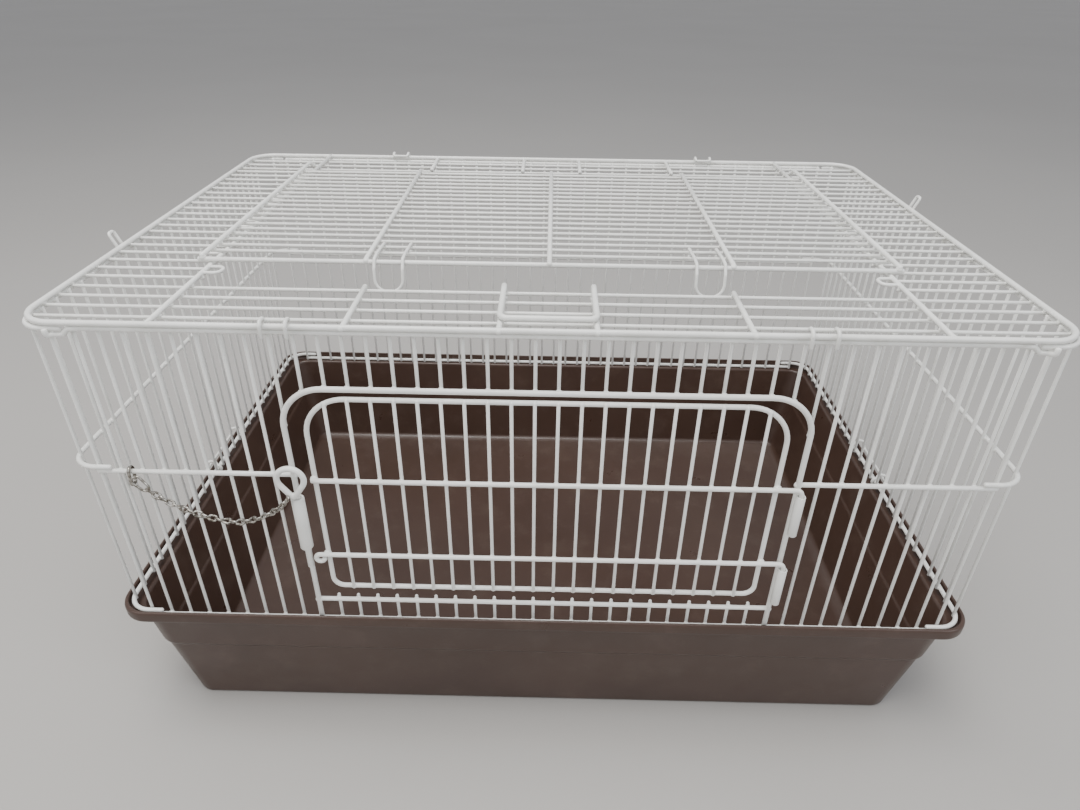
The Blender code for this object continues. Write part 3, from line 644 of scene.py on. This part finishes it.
def add_link(mesh, middle, along, across, size, wire_r):
    """One oval link; size is its length and width over the wire."""
    through = along.cross(across)
    half_straight = (size[0] - size[1]) / 2
    bend = size[1] / 2 - wire_r
    loop = []
    for step in range(18):
        angle = 2 * math.pi * (step + 0.5) / 18
        side = 1 if math.cos(angle) >= 0 else -1
        reach = side * half_straight + bend * math.cos(angle)
        lean = LINK_LEAN * math.sin(angle) * side
        loop.append(middle + along * reach + across * bend * math.sin(angle) + through * lean)
    add_wire(mesh, loop, wire_r, True, 8)


def build_chain():
    """A curb chain: one large link at the rail, then twisted oval links up to the latch ring."""
    route = fillet(CHAIN_ROUTE, 9.0, 4)
    total = route_length(route)
    mesh = bmesh.new()
    middle, along = along_route(route, END_LINK_MIDDLE)
    sideways = along.cross(Vector(Y_AXIS)).normalized()
    add_link(mesh, middle, along, sideways, (END_LINK_LENGTH, END_LINK_WIDTH), END_LINK_WIRE_R)
    rest = total - FIRST_LINK_START
    count = round(rest / LINK_STEP)
    for index in range(count):
        middle, along = along_route(route, FIRST_LINK_START + (index + 0.5) * rest / count)
        sideways = along.cross(Vector(Y_AXIS)).normalized()
        roll = LINK_ROLL_DEGREES[index % 2] + LINK_LOOSE_DEGREES * math.sin(2.1 * index)
        across = Matrix.Rotation(math.radians(roll), 3, along) @ sideways
        add_link(mesh, middle, along, across, (LINK_LENGTH, CHAIN_WIDTH), LINK_WIRE_R)
    chain = make_piece("chain_look", mesh, None, "chain", STEEL)
    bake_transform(chain)


def build_anchor():
    """The oval link that holds the chain on the front mid rail."""
    low, high = extent("chain_anchor")
    wires = Wires("chain_anchor")
    y_low, y_high = low.y + ANCHOR_WIRE_R, high.y - ANCHOR_WIRE_R
    z_low, z_high = low.z + ANCHOR_WIRE_R, high.z - ANCHOR_WIRE_R
    corners = [
        (ANCHOR_X, y_low + ANCHOR_LEAN, z_high), (ANCHOR_X, y_high, z_high),
        (ANCHOR_X, y_high - ANCHOR_LEAN, z_low), (ANCHOR_X, y_low, z_low),
    ]
    wires.wire(closed_fillet(corners, [ANCHOR_CORNER] * 4), ANCHOR_WIRE_R, True, 10)
    wires.done(STEEL)


# ------------------------------------------------------------------------------------------------
# tray and clamps
# ------------------------------------------------------------------------------------------------
def rounded_rectangle(half_x, half_y, radius, height, steps=12):
    points = []
    for quarter, (sign_x, sign_y) in enumerate(((1, 1), (-1, 1), (-1, -1), (1, -1))):
        for step in range(steps + 1):
            angle = math.pi / 2 * (quarter + step / steps)
            points.append(Vector((
                sign_x * (half_x - radius) + radius * math.cos(angle),
                sign_y * (half_y - radius) + radius * math.sin(angle),
                height,
            )))
    return points


def softened(profile, cut):
    """The profile with each corner cut back by up to cut millimetres and rounded with three points."""
    points = [Vector((inset, height, 0)) for inset, height in profile]
    smooth = [points[0]]
    for before, corner, after in zip(points, points[1:], points[2:]):
        back = min(cut, (before - corner).length * 0.4, (after - corner).length * 0.4)
        start = corner + (before - corner).normalized() * back
        finish = corner + (after - corner).normalized() * back
        for share in (0.0, 0.5, 1.0):
            smooth.append(start.lerp(corner, share).lerp(corner.lerp(finish, share), share))
    smooth.append(points[-1])
    return [(point.x, point.y) for point in smooth]


def build_tray():
    mesh = bmesh.new()
    loops = []
    for inset, height in softened(TRAY_PROFILE, 1.2):
        corner = TRAY_CORNER - inset * 0.35
        lean = TRAY_END_LEAN * max(0.0, 1 - height / TRAY_LEDGE_Z)
        outline = rounded_rectangle(TRAY_HALF_X - inset - lean, TRAY_HALF_Y - inset, corner, height)
        loops.append([mesh.verts.new(point * MM) for point in outline])
    for lower, upper in zip(loops, loops[1:]):
        bridge(mesh, lower, upper)
    mesh.faces.new(list(reversed(loops[0])))
    mesh.faces.new(loops[-1])
    make_piece("tray_look", mesh, "tray", "tray", TRAY_PLASTIC)


def clamp_path(sign):
    """A wire hooked on the side panel's bottom rail, over the tray rim, with a bar outside the rim."""
    loop = RAIL_R + CLIP_CURL_GAP + CLAMP_R
    pivot = (SIDE_RAIL_X, 0, CLAMP_PIVOT_Z)
    curl = arc(pivot, loop, 250, 95, 12, "XZ")
    over = [(SIDE_RAIL_X + 1.6, 0, 120.0), (323.8, 0, 118.4), (326.6, 0, 109.6)]
    leg = [(point.x, point.z) for point in curl] + [(point[0], point[2]) for point in over]
    near = [(x, -CLAMP_HALF_LENGTH, z) for x, z in leg]
    far = [(x, CLAMP_HALF_LENGTH, z) for x, z in reversed(leg)]
    bend_from = len(curl)
    rounded = fillet(near[bend_from - 1:] + far[:-bend_from + 1], 2.2, 5)
    path = near[:bend_from - 1] + [tuple(point) for point in rounded] + far[-bend_from + 1:]
    return mirrored(path, sign)


def build_clamps():
    for node, sign in (("clamp_left", -1), ("clamp_right", 1)):
        wires = Wires(node)
        wires.wire(clamp_path(sign), CLAMP_R)
        wires.done()


# ------------------------------------------------------------------------------------------------
# upright panels
# ------------------------------------------------------------------------------------------------
def wire_positions(first, count, sign):
    return [sign * (first + index) * PITCH for index in range(count)]


def build_front_panel():
    for node, sign in (("front_grille_left", -1), ("front_grille_right", 1)):
        wires = Wires(node)
        wires.wire([(sign * POST_X, FRONT_RAIL_Y, MID_Z), (sign * RAIL_END_X, FRONT_RAIL_Y, MID_Z)])
        wires.weld((sign * POST_X, (FRONT_RAIL_Y + ARCH_Y) / 2, MID_Z), X_AXIS, Z_AXIS, POST_WELD)
        for x in wire_positions(FIRST_OUTER_WIRE, FRONT_PICKETS_PER_SIDE, sign):
            wires.picket((x, FRONT_Y, BOTTOM_Z - PAST_RAIL), (x, FRONT_Y, TOP_Z + PAST_RAIL))
            for height in (BOTTOM_Z, MID_Z, TOP_Z):
                wires.weld((x, (FRONT_Y + FRONT_RAIL_Y) / 2, height), X_AXIS, Z_AXIS)
        wires.done()
    build_front_top()
    bottom = Wires("front_rail_bottom")
    bottom.wire([(-RAIL_END_X, FRONT_RAIL_Y, BOTTOM_Z), (RAIL_END_X, FRONT_RAIL_Y, BOTTOM_Z)])
    bottom.done()
    build_arch()
    build_sill()


def arch_height(x):
    """Height of the arch's centre line above a place between the two posts."""
    beyond = abs(x) - (POST_X - ARCH_RADIUS)
    if beyond <= 0:
        return ARCH_TOP_Z
    return ARCH_TOP_Z - ARCH_RADIUS + math.sqrt(max(ARCH_RADIUS ** 2 - beyond ** 2, 0.0))


def top_rail_path(sign):
    """A front (-1) or back (1) top rail; its ends dip under the side rails' returns and hook round them."""
    outer_y = FRONT_Y - RETURN_STAND_OFF
    hook_y = outer_y - 2 * RAIL_R - CLEAR
    dip = TOP_Z - 2 * RAIL_R - CLEAR - 0.1
    half = [
        (276.0, FRONT_RAIL_Y, TOP_Z), (280.5, outer_y, TOP_Z), (283.0, outer_y, TOP_Z),
        (287.0, outer_y, dip), (292.4, outer_y - 0.6, dip),
        (294.6, hook_y, dip + 0.4), (294.9, hook_y, TOP_Z + 0.4),
    ]
    path = fillet(list(reversed(mirrored(half, -1))) + half, 2.0, 5)
    return [(point.x, -sign * point.y, point.z) for point in path]


def build_front_top():
    """Front top rail and the wires above the arch."""
    wires = Wires("front_rail_top")
    wires.wire(top_rail_path(-1))
    for sign in (-1, 1):
        for x in wire_positions(FIRST_MIDDLE_WIRE, HEADER_WIRES_PER_SIDE, sign):
            low = arch_height(x)
            wires.picket((x, FRONT_Y, low - PAST_RAIL), (x, FRONT_Y, TOP_Z + PAST_RAIL))
            wires.weld((x, (FRONT_Y + FRONT_RAIL_Y) / 2, TOP_Z), X_AXIS, Z_AXIS)
            wires.weld((x, (FRONT_Y + ARCH_Y) / 2, low), X_AXIS, Z_AXIS)
    wires.done()


def build_arch():
    wires = Wires("front_arch")
    corners = [
        (-POST_X, ARCH_Y, BOTTOM_Z - PAST_RAIL), (-POST_X, ARCH_Y, ARCH_TOP_Z),
        (POST_X, ARCH_Y, ARCH_TOP_Z), (POST_X, ARCH_Y, BOTTOM_Z - PAST_RAIL),
    ]
    wires.wire(fillet(corners, ARCH_RADIUS, 14), FRAME_R, sides=14)
    for x in (-POST_X, POST_X):
        for height in (BOTTOM_Z, SILL_Z):
            wires.weld((x, (FRONT_RAIL_Y + ARCH_Y) / 2, height), X_AXIS, Z_AXIS, FRAME_WELD)
    wires.done()


def build_sill():
    wires = Wires("front_sill")
    wires.wire([(-POST_X, FRONT_RAIL_Y, SILL_Z), (POST_X, FRONT_RAIL_Y, SILL_Z)])
    top = SILL_Z + RAIL_R + SILL_WIRE_PAST
    for sign in (-1, 1):
        for x in wire_positions(FIRST_MIDDLE_WIRE, SILL_WIRES_PER_SIDE, sign):
            wires.picket((x, FRONT_Y, BOTTOM_Z - PAST_RAIL), (x, FRONT_Y, top))
            for height in (BOTTOM_Z, SILL_Z):
                wires.weld((x, (FRONT_Y + FRONT_RAIL_Y) / 2, height), X_AXIS, Z_AXIS)
    wires.done()


def build_back_panel():
    wires = Wires("back_grille")
    wires.wire([(-RAIL_END_X, BACK_RAIL_Y, MID_Z), (RAIL_END_X, BACK_RAIL_Y, MID_Z)])
    for sign in (-1, 1):
        for x in wire_positions(FIRST_MIDDLE_WIRE, BACK_PICKETS_PER_SIDE, sign):
            wires.picket((x, BACK_Y, BOTTOM_Z - PAST_RAIL), (x, BACK_Y, TOP_Z + PAST_RAIL))
            for height in (BOTTOM_Z, MID_Z, TOP_Z):
                wires.weld((x, (BACK_Y + BACK_RAIL_Y) / 2, height), X_AXIS, Z_AXIS)
    wires.done()
    top = Wires("back_rail_top")
    top.wire(top_rail_path(1))
    top.done()
    bottom = Wires("back_rail_bottom")
    bottom.wire([(-RAIL_END_X, BACK_RAIL_Y, BOTTOM_Z), (RAIL_END_X, BACK_RAIL_Y, BOTTOM_Z)])
    bottom.done()


def side_rail_path(sign, height):
    """A side rail whose two ends turn round the corners onto the front and back panels."""
    front = FRONT_Y - RETURN_STAND_OFF
    back = BACK_Y + RETURN_STAND_OFF
    corners = [
        (RETURN_END_X, front, height), (SIDE_RAIL_X, front, height),
        (SIDE_RAIL_X, back, height), (RETURN_END_X, back, height),
    ]
    return fillet(mirrored(corners, sign), RETURN_RADIUS, 10)


def build_side_panels():
    rails = (SIDE_BOTTOM_Z, SIDE_MID_Z, TOP_Z)
    for side, sign in (("left", -1), ("right", 1)):
        wires = Wires(f"{side}_grille")
        wires.wire(side_rail_path(sign, rails[1]))
        for index in range(SIDE_PICKETS):
            y = (index - (SIDE_PICKETS - 1) / 2) * PITCH
            wires.picket((sign * SIDE_X, y, rails[0] - PAST_RAIL), (sign * SIDE_X, y, rails[2] + PAST_RAIL))
            for height in rails:
                wires.weld((sign * (SIDE_X + SIDE_RAIL_X) / 2, y, height), Y_AXIS, Z_AXIS)
        wires.done()
        for node, height in ((f"{side}_rail_bottom", rails[0]), (f"{side}_rail_top", rails[2])):
            rail = Wires(node)
            rail.wire(side_rail_path(sign, height))
            rail.done()


# ------------------------------------------------------------------------------------------------
# front door, hinge sleeves and latch
# ------------------------------------------------------------------------------------------------
def door_wire_top(x):
    """Height where a door wire meets the door frame's rounded top."""
    beyond = abs(x) - (DOOR_HALF_WIDTH - DOOR_TOP_RADIUS)
    if beyond <= 0:
        return DOOR_TOP_Z
    return DOOR_TOP_Z - DOOR_TOP_RADIUS + math.sqrt(DOOR_TOP_RADIUS ** 2 - beyond ** 2)


def door_rail_path(height, with_eye):
    """A door rail: an eye or plain end on the left, the hinge pin bent down on the right."""
    bend_centre = (HINGE_X - PIN_BEND_RADIUS, HINGE_Y, height - PIN_BEND_RADIUS)
    path = arc(bend_centre, PIN_BEND_RADIUS, 90, 0, 8, "XZ")
    path.append(Vector((HINGE_X, HINGE_Y, height - PIN_BEND_RADIUS - PIN_LENGTH)))
    if with_eye:
        start = arc((EYE_X, HINGE_Y, height - EYE_RADIUS), EYE_RADIUS, 350, 90, 16, "XZ")
    else:
        start = [Vector((-DOOR_HALF_WIDTH - PAST_RAIL, HINGE_Y, height))]
    return start + path


def build_front_door():
    corners = [
        (-DOOR_HALF_WIDTH, DOOR_FRAME_Y, DOOR_BOTTOM_Z), (DOOR_HALF_WIDTH, DOOR_FRAME_Y, DOOR_BOTTOM_Z),
        (DOOR_HALF_WIDTH, DOOR_FRAME_Y, DOOR_TOP_Z), (-DOOR_HALF_WIDTH, DOOR_FRAME_Y, DOOR_TOP_Z),
    ]
    radii = [DOOR_BOTTOM_RADIUS, DOOR_BOTTOM_RADIUS, DOOR_TOP_RADIUS, DOOR_TOP_RADIUS]
    outline = Wires("door_frame")
    outline.wire(closed_fillet(corners, radii, 12), RAIL_R, True, 14)
    outline.done()
    wires = Wires("door_grille")
    wires.wire(door_rail_path(DOOR_RAILS_Z[0], True))
    wires.wire(door_rail_path(DOOR_RAILS_Z[1], False))
    for sign in (-1, 1):
        for height in DOOR_RAILS_Z:
            place = (sign * DOOR_HALF_WIDTH, (DOOR_FRAME_Y + HINGE_Y) / 2, height)
            wires.weld(place, X_AXIS, Z_AXIS, FRAME_WELD)
        for x in wire_positions(FIRST_MIDDLE_WIRE, DOOR_WIRES_PER_SIDE, sign):
            top = door_wire_top(x)
            foot = (x, DOOR_WIRE_Y, DOOR_BOTTOM_Z - DOOR_WIRE_PAST)
            wires.picket(foot, (x, DOOR_WIRE_Y, top + DOOR_WIRE_PAST))
            wires.weld((x, (DOOR_WIRE_Y + DOOR_FRAME_Y) / 2, DOOR_BOTTOM_Z), X_AXIS, Z_AXIS)
            wires.weld((x, (DOOR_WIRE_Y + DOOR_FRAME_Y) / 2, top), X_AXIS, Z_AXIS)
            for height in DOOR_RAILS_Z:
                wires.weld((x, (DOOR_WIRE_Y + HINGE_Y) / 2, height), X_AXIS, Z_AXIS)
    wires.done()


def build_sleeve(node, outer, bore, seam):
    """A sheet-metal sleeve rolled from a strip; seam holds its gap's direction and width in degrees."""
    low, high = extent(node)
    middle = centre(node)
    mesh = bmesh.new()
    wall = outer - bore
    inward = wall * 0.35
    drop = wall * 0.5
    profile = [
        (outer - inward, low.z), (outer, low.z + drop), (outer, high.z - drop), (outer - inward, high.z),
        (bore + inward, high.z), (bore, high.z - drop), (bore, low.z + drop), (bore + inward, low.z),
    ]
    columns = []
    first = seam["towards"] + seam["width"] / 2
    span = 360.0 - seam["width"]
    for side in range(SLEEVE_SIDES + 1):
        angle = math.radians(first + span * side / SLEEVE_SIDES)
        outward = Vector((math.cos(angle), math.sin(angle), 0))
        column = []
        for radius, height in profile:
            place = Vector((middle.x, middle.y, height)) + outward * radius
            column.append(mesh.verts.new(place * MM))
        columns.append(column)
    for column, following in zip(columns, columns[1:]):
        bridge(mesh, column, following)
    mesh.faces.new(columns[0])
    mesh.faces.new(list(reversed(columns[-1])))
    make_piece(f"{node}_look", mesh, body_of(node), node, COATED)


def latch_ring_path():
    """A teardrop: most of a circle, its two sides running straight down to a rounded point."""
    first = -LATCH_RING_TAPER_DEGREES
    last = 180 + LATCH_RING_TAPER_DEGREES
    loop = arc(LATCH_RING_CENTRE, LATCH_RING_RADIUS, first, last, 30, "XZ")
    drop = LATCH_RING_RADIUS / math.sin(math.radians(LATCH_RING_TAPER_DEGREES))
    point = Vector(LATCH_RING_CENTRE) - Vector((0, 0, drop))
    return loop + rounded_corner(loop[-1], point, loop[0], LATCH_RING_POINT_RADIUS, 8)


def build_latch():
    build_sleeve("latch_barrel", BARREL_R, BARREL_BORE_R, BARREL_SEAM)
    pin_bottom = extent("latch_pin")[0].z
    barrel_top = extent("latch_barrel")[1].z
    wires = Wires("latch_pin")
    ring = latch_ring_path()
    lowest = min(ring, key=lambda point: point.z)
    foot = [(LATCH_X, LATCH_Y, pin_bottom + 0.6), (LATCH_X, LATCH_Y, barrel_top + 0.6)]
    wires.wire(fillet(foot + [tuple(lowest)], 2.0), LATCH_PIN_R, sides=14)
    wires.wire(ring, LATCH_RING_R, True, 14)
    wires.weld(lowest, X_AXIS, Z_AXIS, LATCH_WELD)
    wires.done()


# ------------------------------------------------------------------------------------------------
# top panel
# ------------------------------------------------------------------------------------------------
def row_y(number):
    """Row numbers run from 0, the front of the ring frame, to RING_ROWS, its back."""
    return -RING_Y + number * ROW_STEP


def row_half_length(number):
    """Half the length of a row that ends under the rounded ring frame."""
    beyond = abs(row_y(number)) - (RING_Y - RING_RADIUS)
    if beyond <= 0:
        return RING_X
    return RING_X - RING_RADIUS + math.sqrt(RING_RADIUS ** 2 - beyond ** 2)


def build_ring_frame():
    corners = [
        (-RING_X, -RING_Y, RING_Z), (RING_X, -RING_Y, RING_Z),
        (RING_X, RING_Y, RING_Z), (-RING_X, RING_Y, RING_Z),
    ]
    wires = Wires("top_frame")
    wires.wire(closed_fillet(corners, [RING_RADIUS] * 4, 12), FRAME_R, True, 14)
    wires.done()


def build_top_grilles():
    """Rows either side of the opening, each side welded under the wire that edges the opening."""
    for side, sign in (("left", -1), ("right", 1)):
        wires = Wires(f"top_grille_{side}")
        wires.wire([(sign * OPENING_X, -RING_Y, OPENING_Z), (sign * OPENING_X, RING_Y, OPENING_Z)])
        for number in GRILLE_ROWS:
            y = row_y(number)
            outer = sign * (row_half_length(number) + ROW_PAST_FRAME)
            inner = sign * (OPENING_X - RAIL_R)
            wires.picket((inner, y, GRILLE_ROW_Z), (outer, y, GRILLE_ROW_Z))
            wires.weld((sign * OPENING_X, y, (GRILLE_ROW_Z + OPENING_Z) / 2), X_AXIS, Y_AXIS, ROW_WELD)
            wires.weld((sign * RING_X, y, (GRILLE_ROW_Z + RING_Z) / 2), X_AXIS, Y_AXIS, ROW_WELD)
        wires.done()


def build_top_strip(node, numbers, frame_end, far_row, inner_far_row):
    """Full-width rows joined by short wires; the outer ones reach far_row, the inner ones inner_far_row."""
    wires = Wires(node)
    for number in numbers:
        half_length = row_half_length(number)
        reach = half_length + ROW_PAST_FRAME
        y = row_y(number)
        wires.picket((-reach, y, STRIP_ROW_Z), (reach, y, STRIP_ROW_Z))
        for sign in (-1, 1):
            wires.weld((sign * half_length, y, (STRIP_ROW_Z + RING_Z) / 2), X_AXIS, Y_AXIS, ROW_WELD)
            wires.weld((sign * OPENING_X, y, (STRIP_ROW_Z + OPENING_Z) / 2), X_AXIS, Y_AXIS, ROW_WELD)
    direction = 1 if frame_end > 0 else -1
    for x, last_row in ((CROSS_INNER_X, inner_far_row), (CROSS_OUTER_X, far_row)):
        far_y = row_y(last_row) - direction * (PICKET_R + 0.8)
        crossed = [number for number in numbers if (row_y(number) - far_y) * direction > 0]
        for sign in (-1, 1):
            wires.wire([(sign * x, frame_end, CROSS_Z), (sign * x, far_y, CROSS_Z)])
            wires.weld((sign * x, frame_end, (CROSS_Z + RING_Z) / 2), X_AXIS, Y_AXIS, CROSS_WELD)
            for number in crossed:
                place = (sign * x, row_y(number), (STRIP_ROW_Z + CROSS_Z) / 2)
                wires.weld(place, X_AXIS, Y_AXIS, ROW_WELD)
    wires.done()


def build_rests():
    """Small flat loops that stick out of the opening's edge, in front of the top door's corners."""
    far_x = OPENING_X - RAIL_R - REST_REACH
    for side, sign in (("left", -1), ("right", 1)):
        corners = [
            (OPENING_X - 0.6, REST_Y[0], OPENING_Z), (far_x, REST_Y[0], OPENING_Z),
            (far_x, REST_Y[1], OPENING_Z), (OPENING_X - 0.6, REST_Y[1], OPENING_Z),
        ]
        wires = Wires(f"top_rest_{side}")
        wires.wire(fillet(mirrored(corners, sign), 4.5), HOOK_R)
        for y in REST_Y:
            wires.weld((sign * (OPENING_X - 0.8), y, OPENING_Z), X_AXIS, Y_AXIS, REST_WELD)
        wires.done()


def hook_path(section, half_width, place):
    """A hook: section is its side view as (outward, up) pairs, run up one leg and down the other."""
    leg = [(-half_width, outward, up) for outward, up in section]
    other = [(half_width, outward, up) for outward, up in reversed(section)]
    return [place(*point) for point in fillet(leg + other, HOOK_BEND_RADIUS, 6)]


def build_hooks():
    """Six wire hooks that tie the top panel to the upright panels."""
    def at_end(x, sign):
        return lambda along, out, up: (x + along, sign * (RING_Y + out), RING_Z + up)

    def at_side(sign, y):
        return lambda along, out, up: (sign * (RING_X + out), y + along, RING_Z + up)

    places = {}
    for end, sign in (("front", -1), ("back", 1)):
        for side in ("left", "right"):
            node = f"top_hook_{end}_{side}"
            places[node] = (CLOSED_HOOK, CLOSED_HOOK_HALF_WIDTH, at_end(centre(node).x, sign))
    for node, sign in (("top_hook_left", -1), ("top_hook_right", 1)):
        places[node] = (SWUNG_UP_HOOK, SWUNG_UP_HOOK_HALF_WIDTH, at_side(sign, centre(node).y))
    for node, (section, half_width, place) in places.items():
        wires = Wires(node)
        wires.wire(hook_path(section, half_width, place), HOOK_R)
        wires.done()


# ------------------------------------------------------------------------------------------------
# top door, its clips, and the bail
# ------------------------------------------------------------------------------------------------
def build_top_door():
    outline = Wires("top_door_frame")
    outline.wire([
        (-TOP_DOOR_SIDE_X - 3.0, TOP_DOOR_FRONT_Y, TOP_DOOR_FRONT_Z),
        (TOP_DOOR_SIDE_X + 3.0, TOP_DOOR_FRONT_Y, TOP_DOOR_FRONT_Z),
    ])
    loop = PICKET_R + HINGE_CURL_GAP + RAIL_R
    for sign in (-1, 1):
        x = sign * TOP_DOOR_SIDE_X
        curl = arc((x, TOP_HINGE_Y, STRIP_ROW_Z), loop, 100, -140, 14, "YZ")
        straight = [
            (x, TOP_DOOR_FRONT_Y - 1.2, TOP_DOOR_SIDE_Z), (x, TOP_HINGE_Y - 12.0, TOP_DOOR_SIDE_Z),
            tuple(curl[0]),
        ]
        outline.wire(fillet(straight, 4.0, 5) + curl[1:])
        place = (x, TOP_DOOR_FRONT_Y, (TOP_DOOR_FRONT_Z + TOP_DOOR_SIDE_Z) / 2)
        outline.weld(place, X_AXIS, Y_AXIS, CROSS_WELD)
    outline.done()

    wires = Wires("top_door_grille")
    rows = [TOP_DOOR_FIRST_ROW_Y + number * TOP_DOOR_ROW_STEP for number in range(TOP_DOOR_ROWS)]
    row_reach = TOP_DOOR_SIDE_X + 1.0
    side_z = TOP_DOOR_ROW_Z + (TOP_DOOR_SIDE_Z - TOP_DOOR_ROW_Z) / 2
    for y in rows:
        wires.picket((-row_reach, y, TOP_DOOR_ROW_Z), (row_reach, y, TOP_DOOR_ROW_Z))
        for x in TOP_DOOR_INNER_X:
            wires.weld((x, y, (TOP_DOOR_ROW_Z + TOP_DOOR_INNER_Z) / 2), X_AXIS, Y_AXIS, ROW_WELD)
        for sign in (-1, 1):
            wires.weld((sign * TOP_DOOR_SIDE_X, y, side_z), X_AXIS, Y_AXIS, ROW_WELD)
    for x in TOP_DOOR_INNER_X:
        wires.wire([(x, TOP_DOOR_FRONT_Y, TOP_DOOR_INNER_Z), (x, rows[-1] + 3.0, TOP_DOOR_INNER_Z)])
        place = (x, TOP_DOOR_FRONT_Y, (TOP_DOOR_FRONT_Z + TOP_DOOR_INNER_Z) / 2)
        wires.weld(place, X_AXIS, Y_AXIS, INNER_WELD)
    wires.done()


def clip_path(x):
    """Curled on the door's second row, over the door's front wire, then a round loop hanging in front."""
    loop = PICKET_R + CLIP_CURL_GAP + CLIP_R
    top = TOP_DOOR_ROW_Z + loop
    curl = arc((0, CLIP_PIVOT_Y, TOP_DOOR_ROW_Z), loop, -130, 90, 14, "YZ")
    over_wire = TOP_DOOR_FRONT_Z + RAIL_R + CLEAR + CLIP_R
    bend = fillet([
        (0, curl[-1].y, top), (0, TOP_DOOR_FRONT_Y + 10.0, over_wire + 0.4),
        (0, TOP_DOOR_FRONT_Y - 1.6, over_wire), (0, TOP_DOOR_FRONT_Y - 5.6, over_wire - 6.0),
        (0, TOP_DOOR_FRONT_Y - 8.0, over_wire - 21.5),
    ], 2.4, 6)
    leg = [(point.y, point.z) for point in curl] + [(point.y, point.z) for point in bend[1:]]
    left = [(x - CLIP_HALF_WIDTH, y, z) for y, z in leg]
    right = [(x + CLIP_HALF_WIDTH, y, z) for y, z in reversed(leg)]
    round_end = fillet([left[-2], left[-1], right[0], right[1]], CLIP_LOOP_RADIUS, 10)
    return left[:-1] + round_end[1:-1] + right[1:]


def build_clips():
    for node, sign in (("top_clip_left", -1), ("top_clip_right", 1)):
        wires = Wires(node)
        wires.wire(clip_path(sign * CLIP_X), CLIP_R)
        wires.done()


def build_bail():
    """A heavy U of wire curled on the front strip's last row and lying forward over the strip."""
    loop = PICKET_R + HINGE_CURL_GAP + FRAME_R
    curl = arc((0, BAIL_PIVOT_Y, STRIP_ROW_Z), loop, -150, 70, 14, "YZ")
    rise = [(BAIL_PIVOT_Y - 3.0, BAIL_Z + 0.6), (BAIL_PIVOT_Y - 9.0, BAIL_Z), (BAIL_FRONT_Y, BAIL_Z)]
    leg = [(point.y, point.z) for point in curl] + rise
    left = [(-CROSS_INNER_X, y, z) for y, z in leg]
    right = [(CROSS_INNER_X, y, z) for y, z in reversed(leg)]
    bend_from = len(curl) + 2
    middle = fillet(left[bend_from - 1:] + right[:-bend_from + 1], 5.0, 7)
    wires = Wires("bail")
    wires.wire(left[:bend_from - 1] + middle + right[-bend_from + 1:], FRAME_R, sides=14)
    wires.done()


make_camera()
build_chain()
build_anchor()
make_lights()
make_floor()
build_tray()
build_clamps()
build_front_panel()
build_back_panel()
build_side_panels()
build_front_door()
for sleeve in ("hinge_sleeve_lower", "hinge_sleeve_upper"):
    build_sleeve(sleeve, SLEEVE_R, SLEEVE_BORE_R, SLEEVE_SEAM)
build_latch()
build_ring_frame()
build_top_grilles()
build_top_strip("top_strip_front", FRONT_STRIP_ROWS, -RING_Y, FRONT_STRIP_ROWS[-1], FRONT_STRIP_ROWS[-2])
build_top_strip("top_strip_rear", REAR_STRIP_ROWS, RING_Y, REAR_STRIP_ROWS[0], REAR_STRIP_ROWS[0])
build_rests()
build_hooks()
build_top_door()
build_clips()
build_bail()
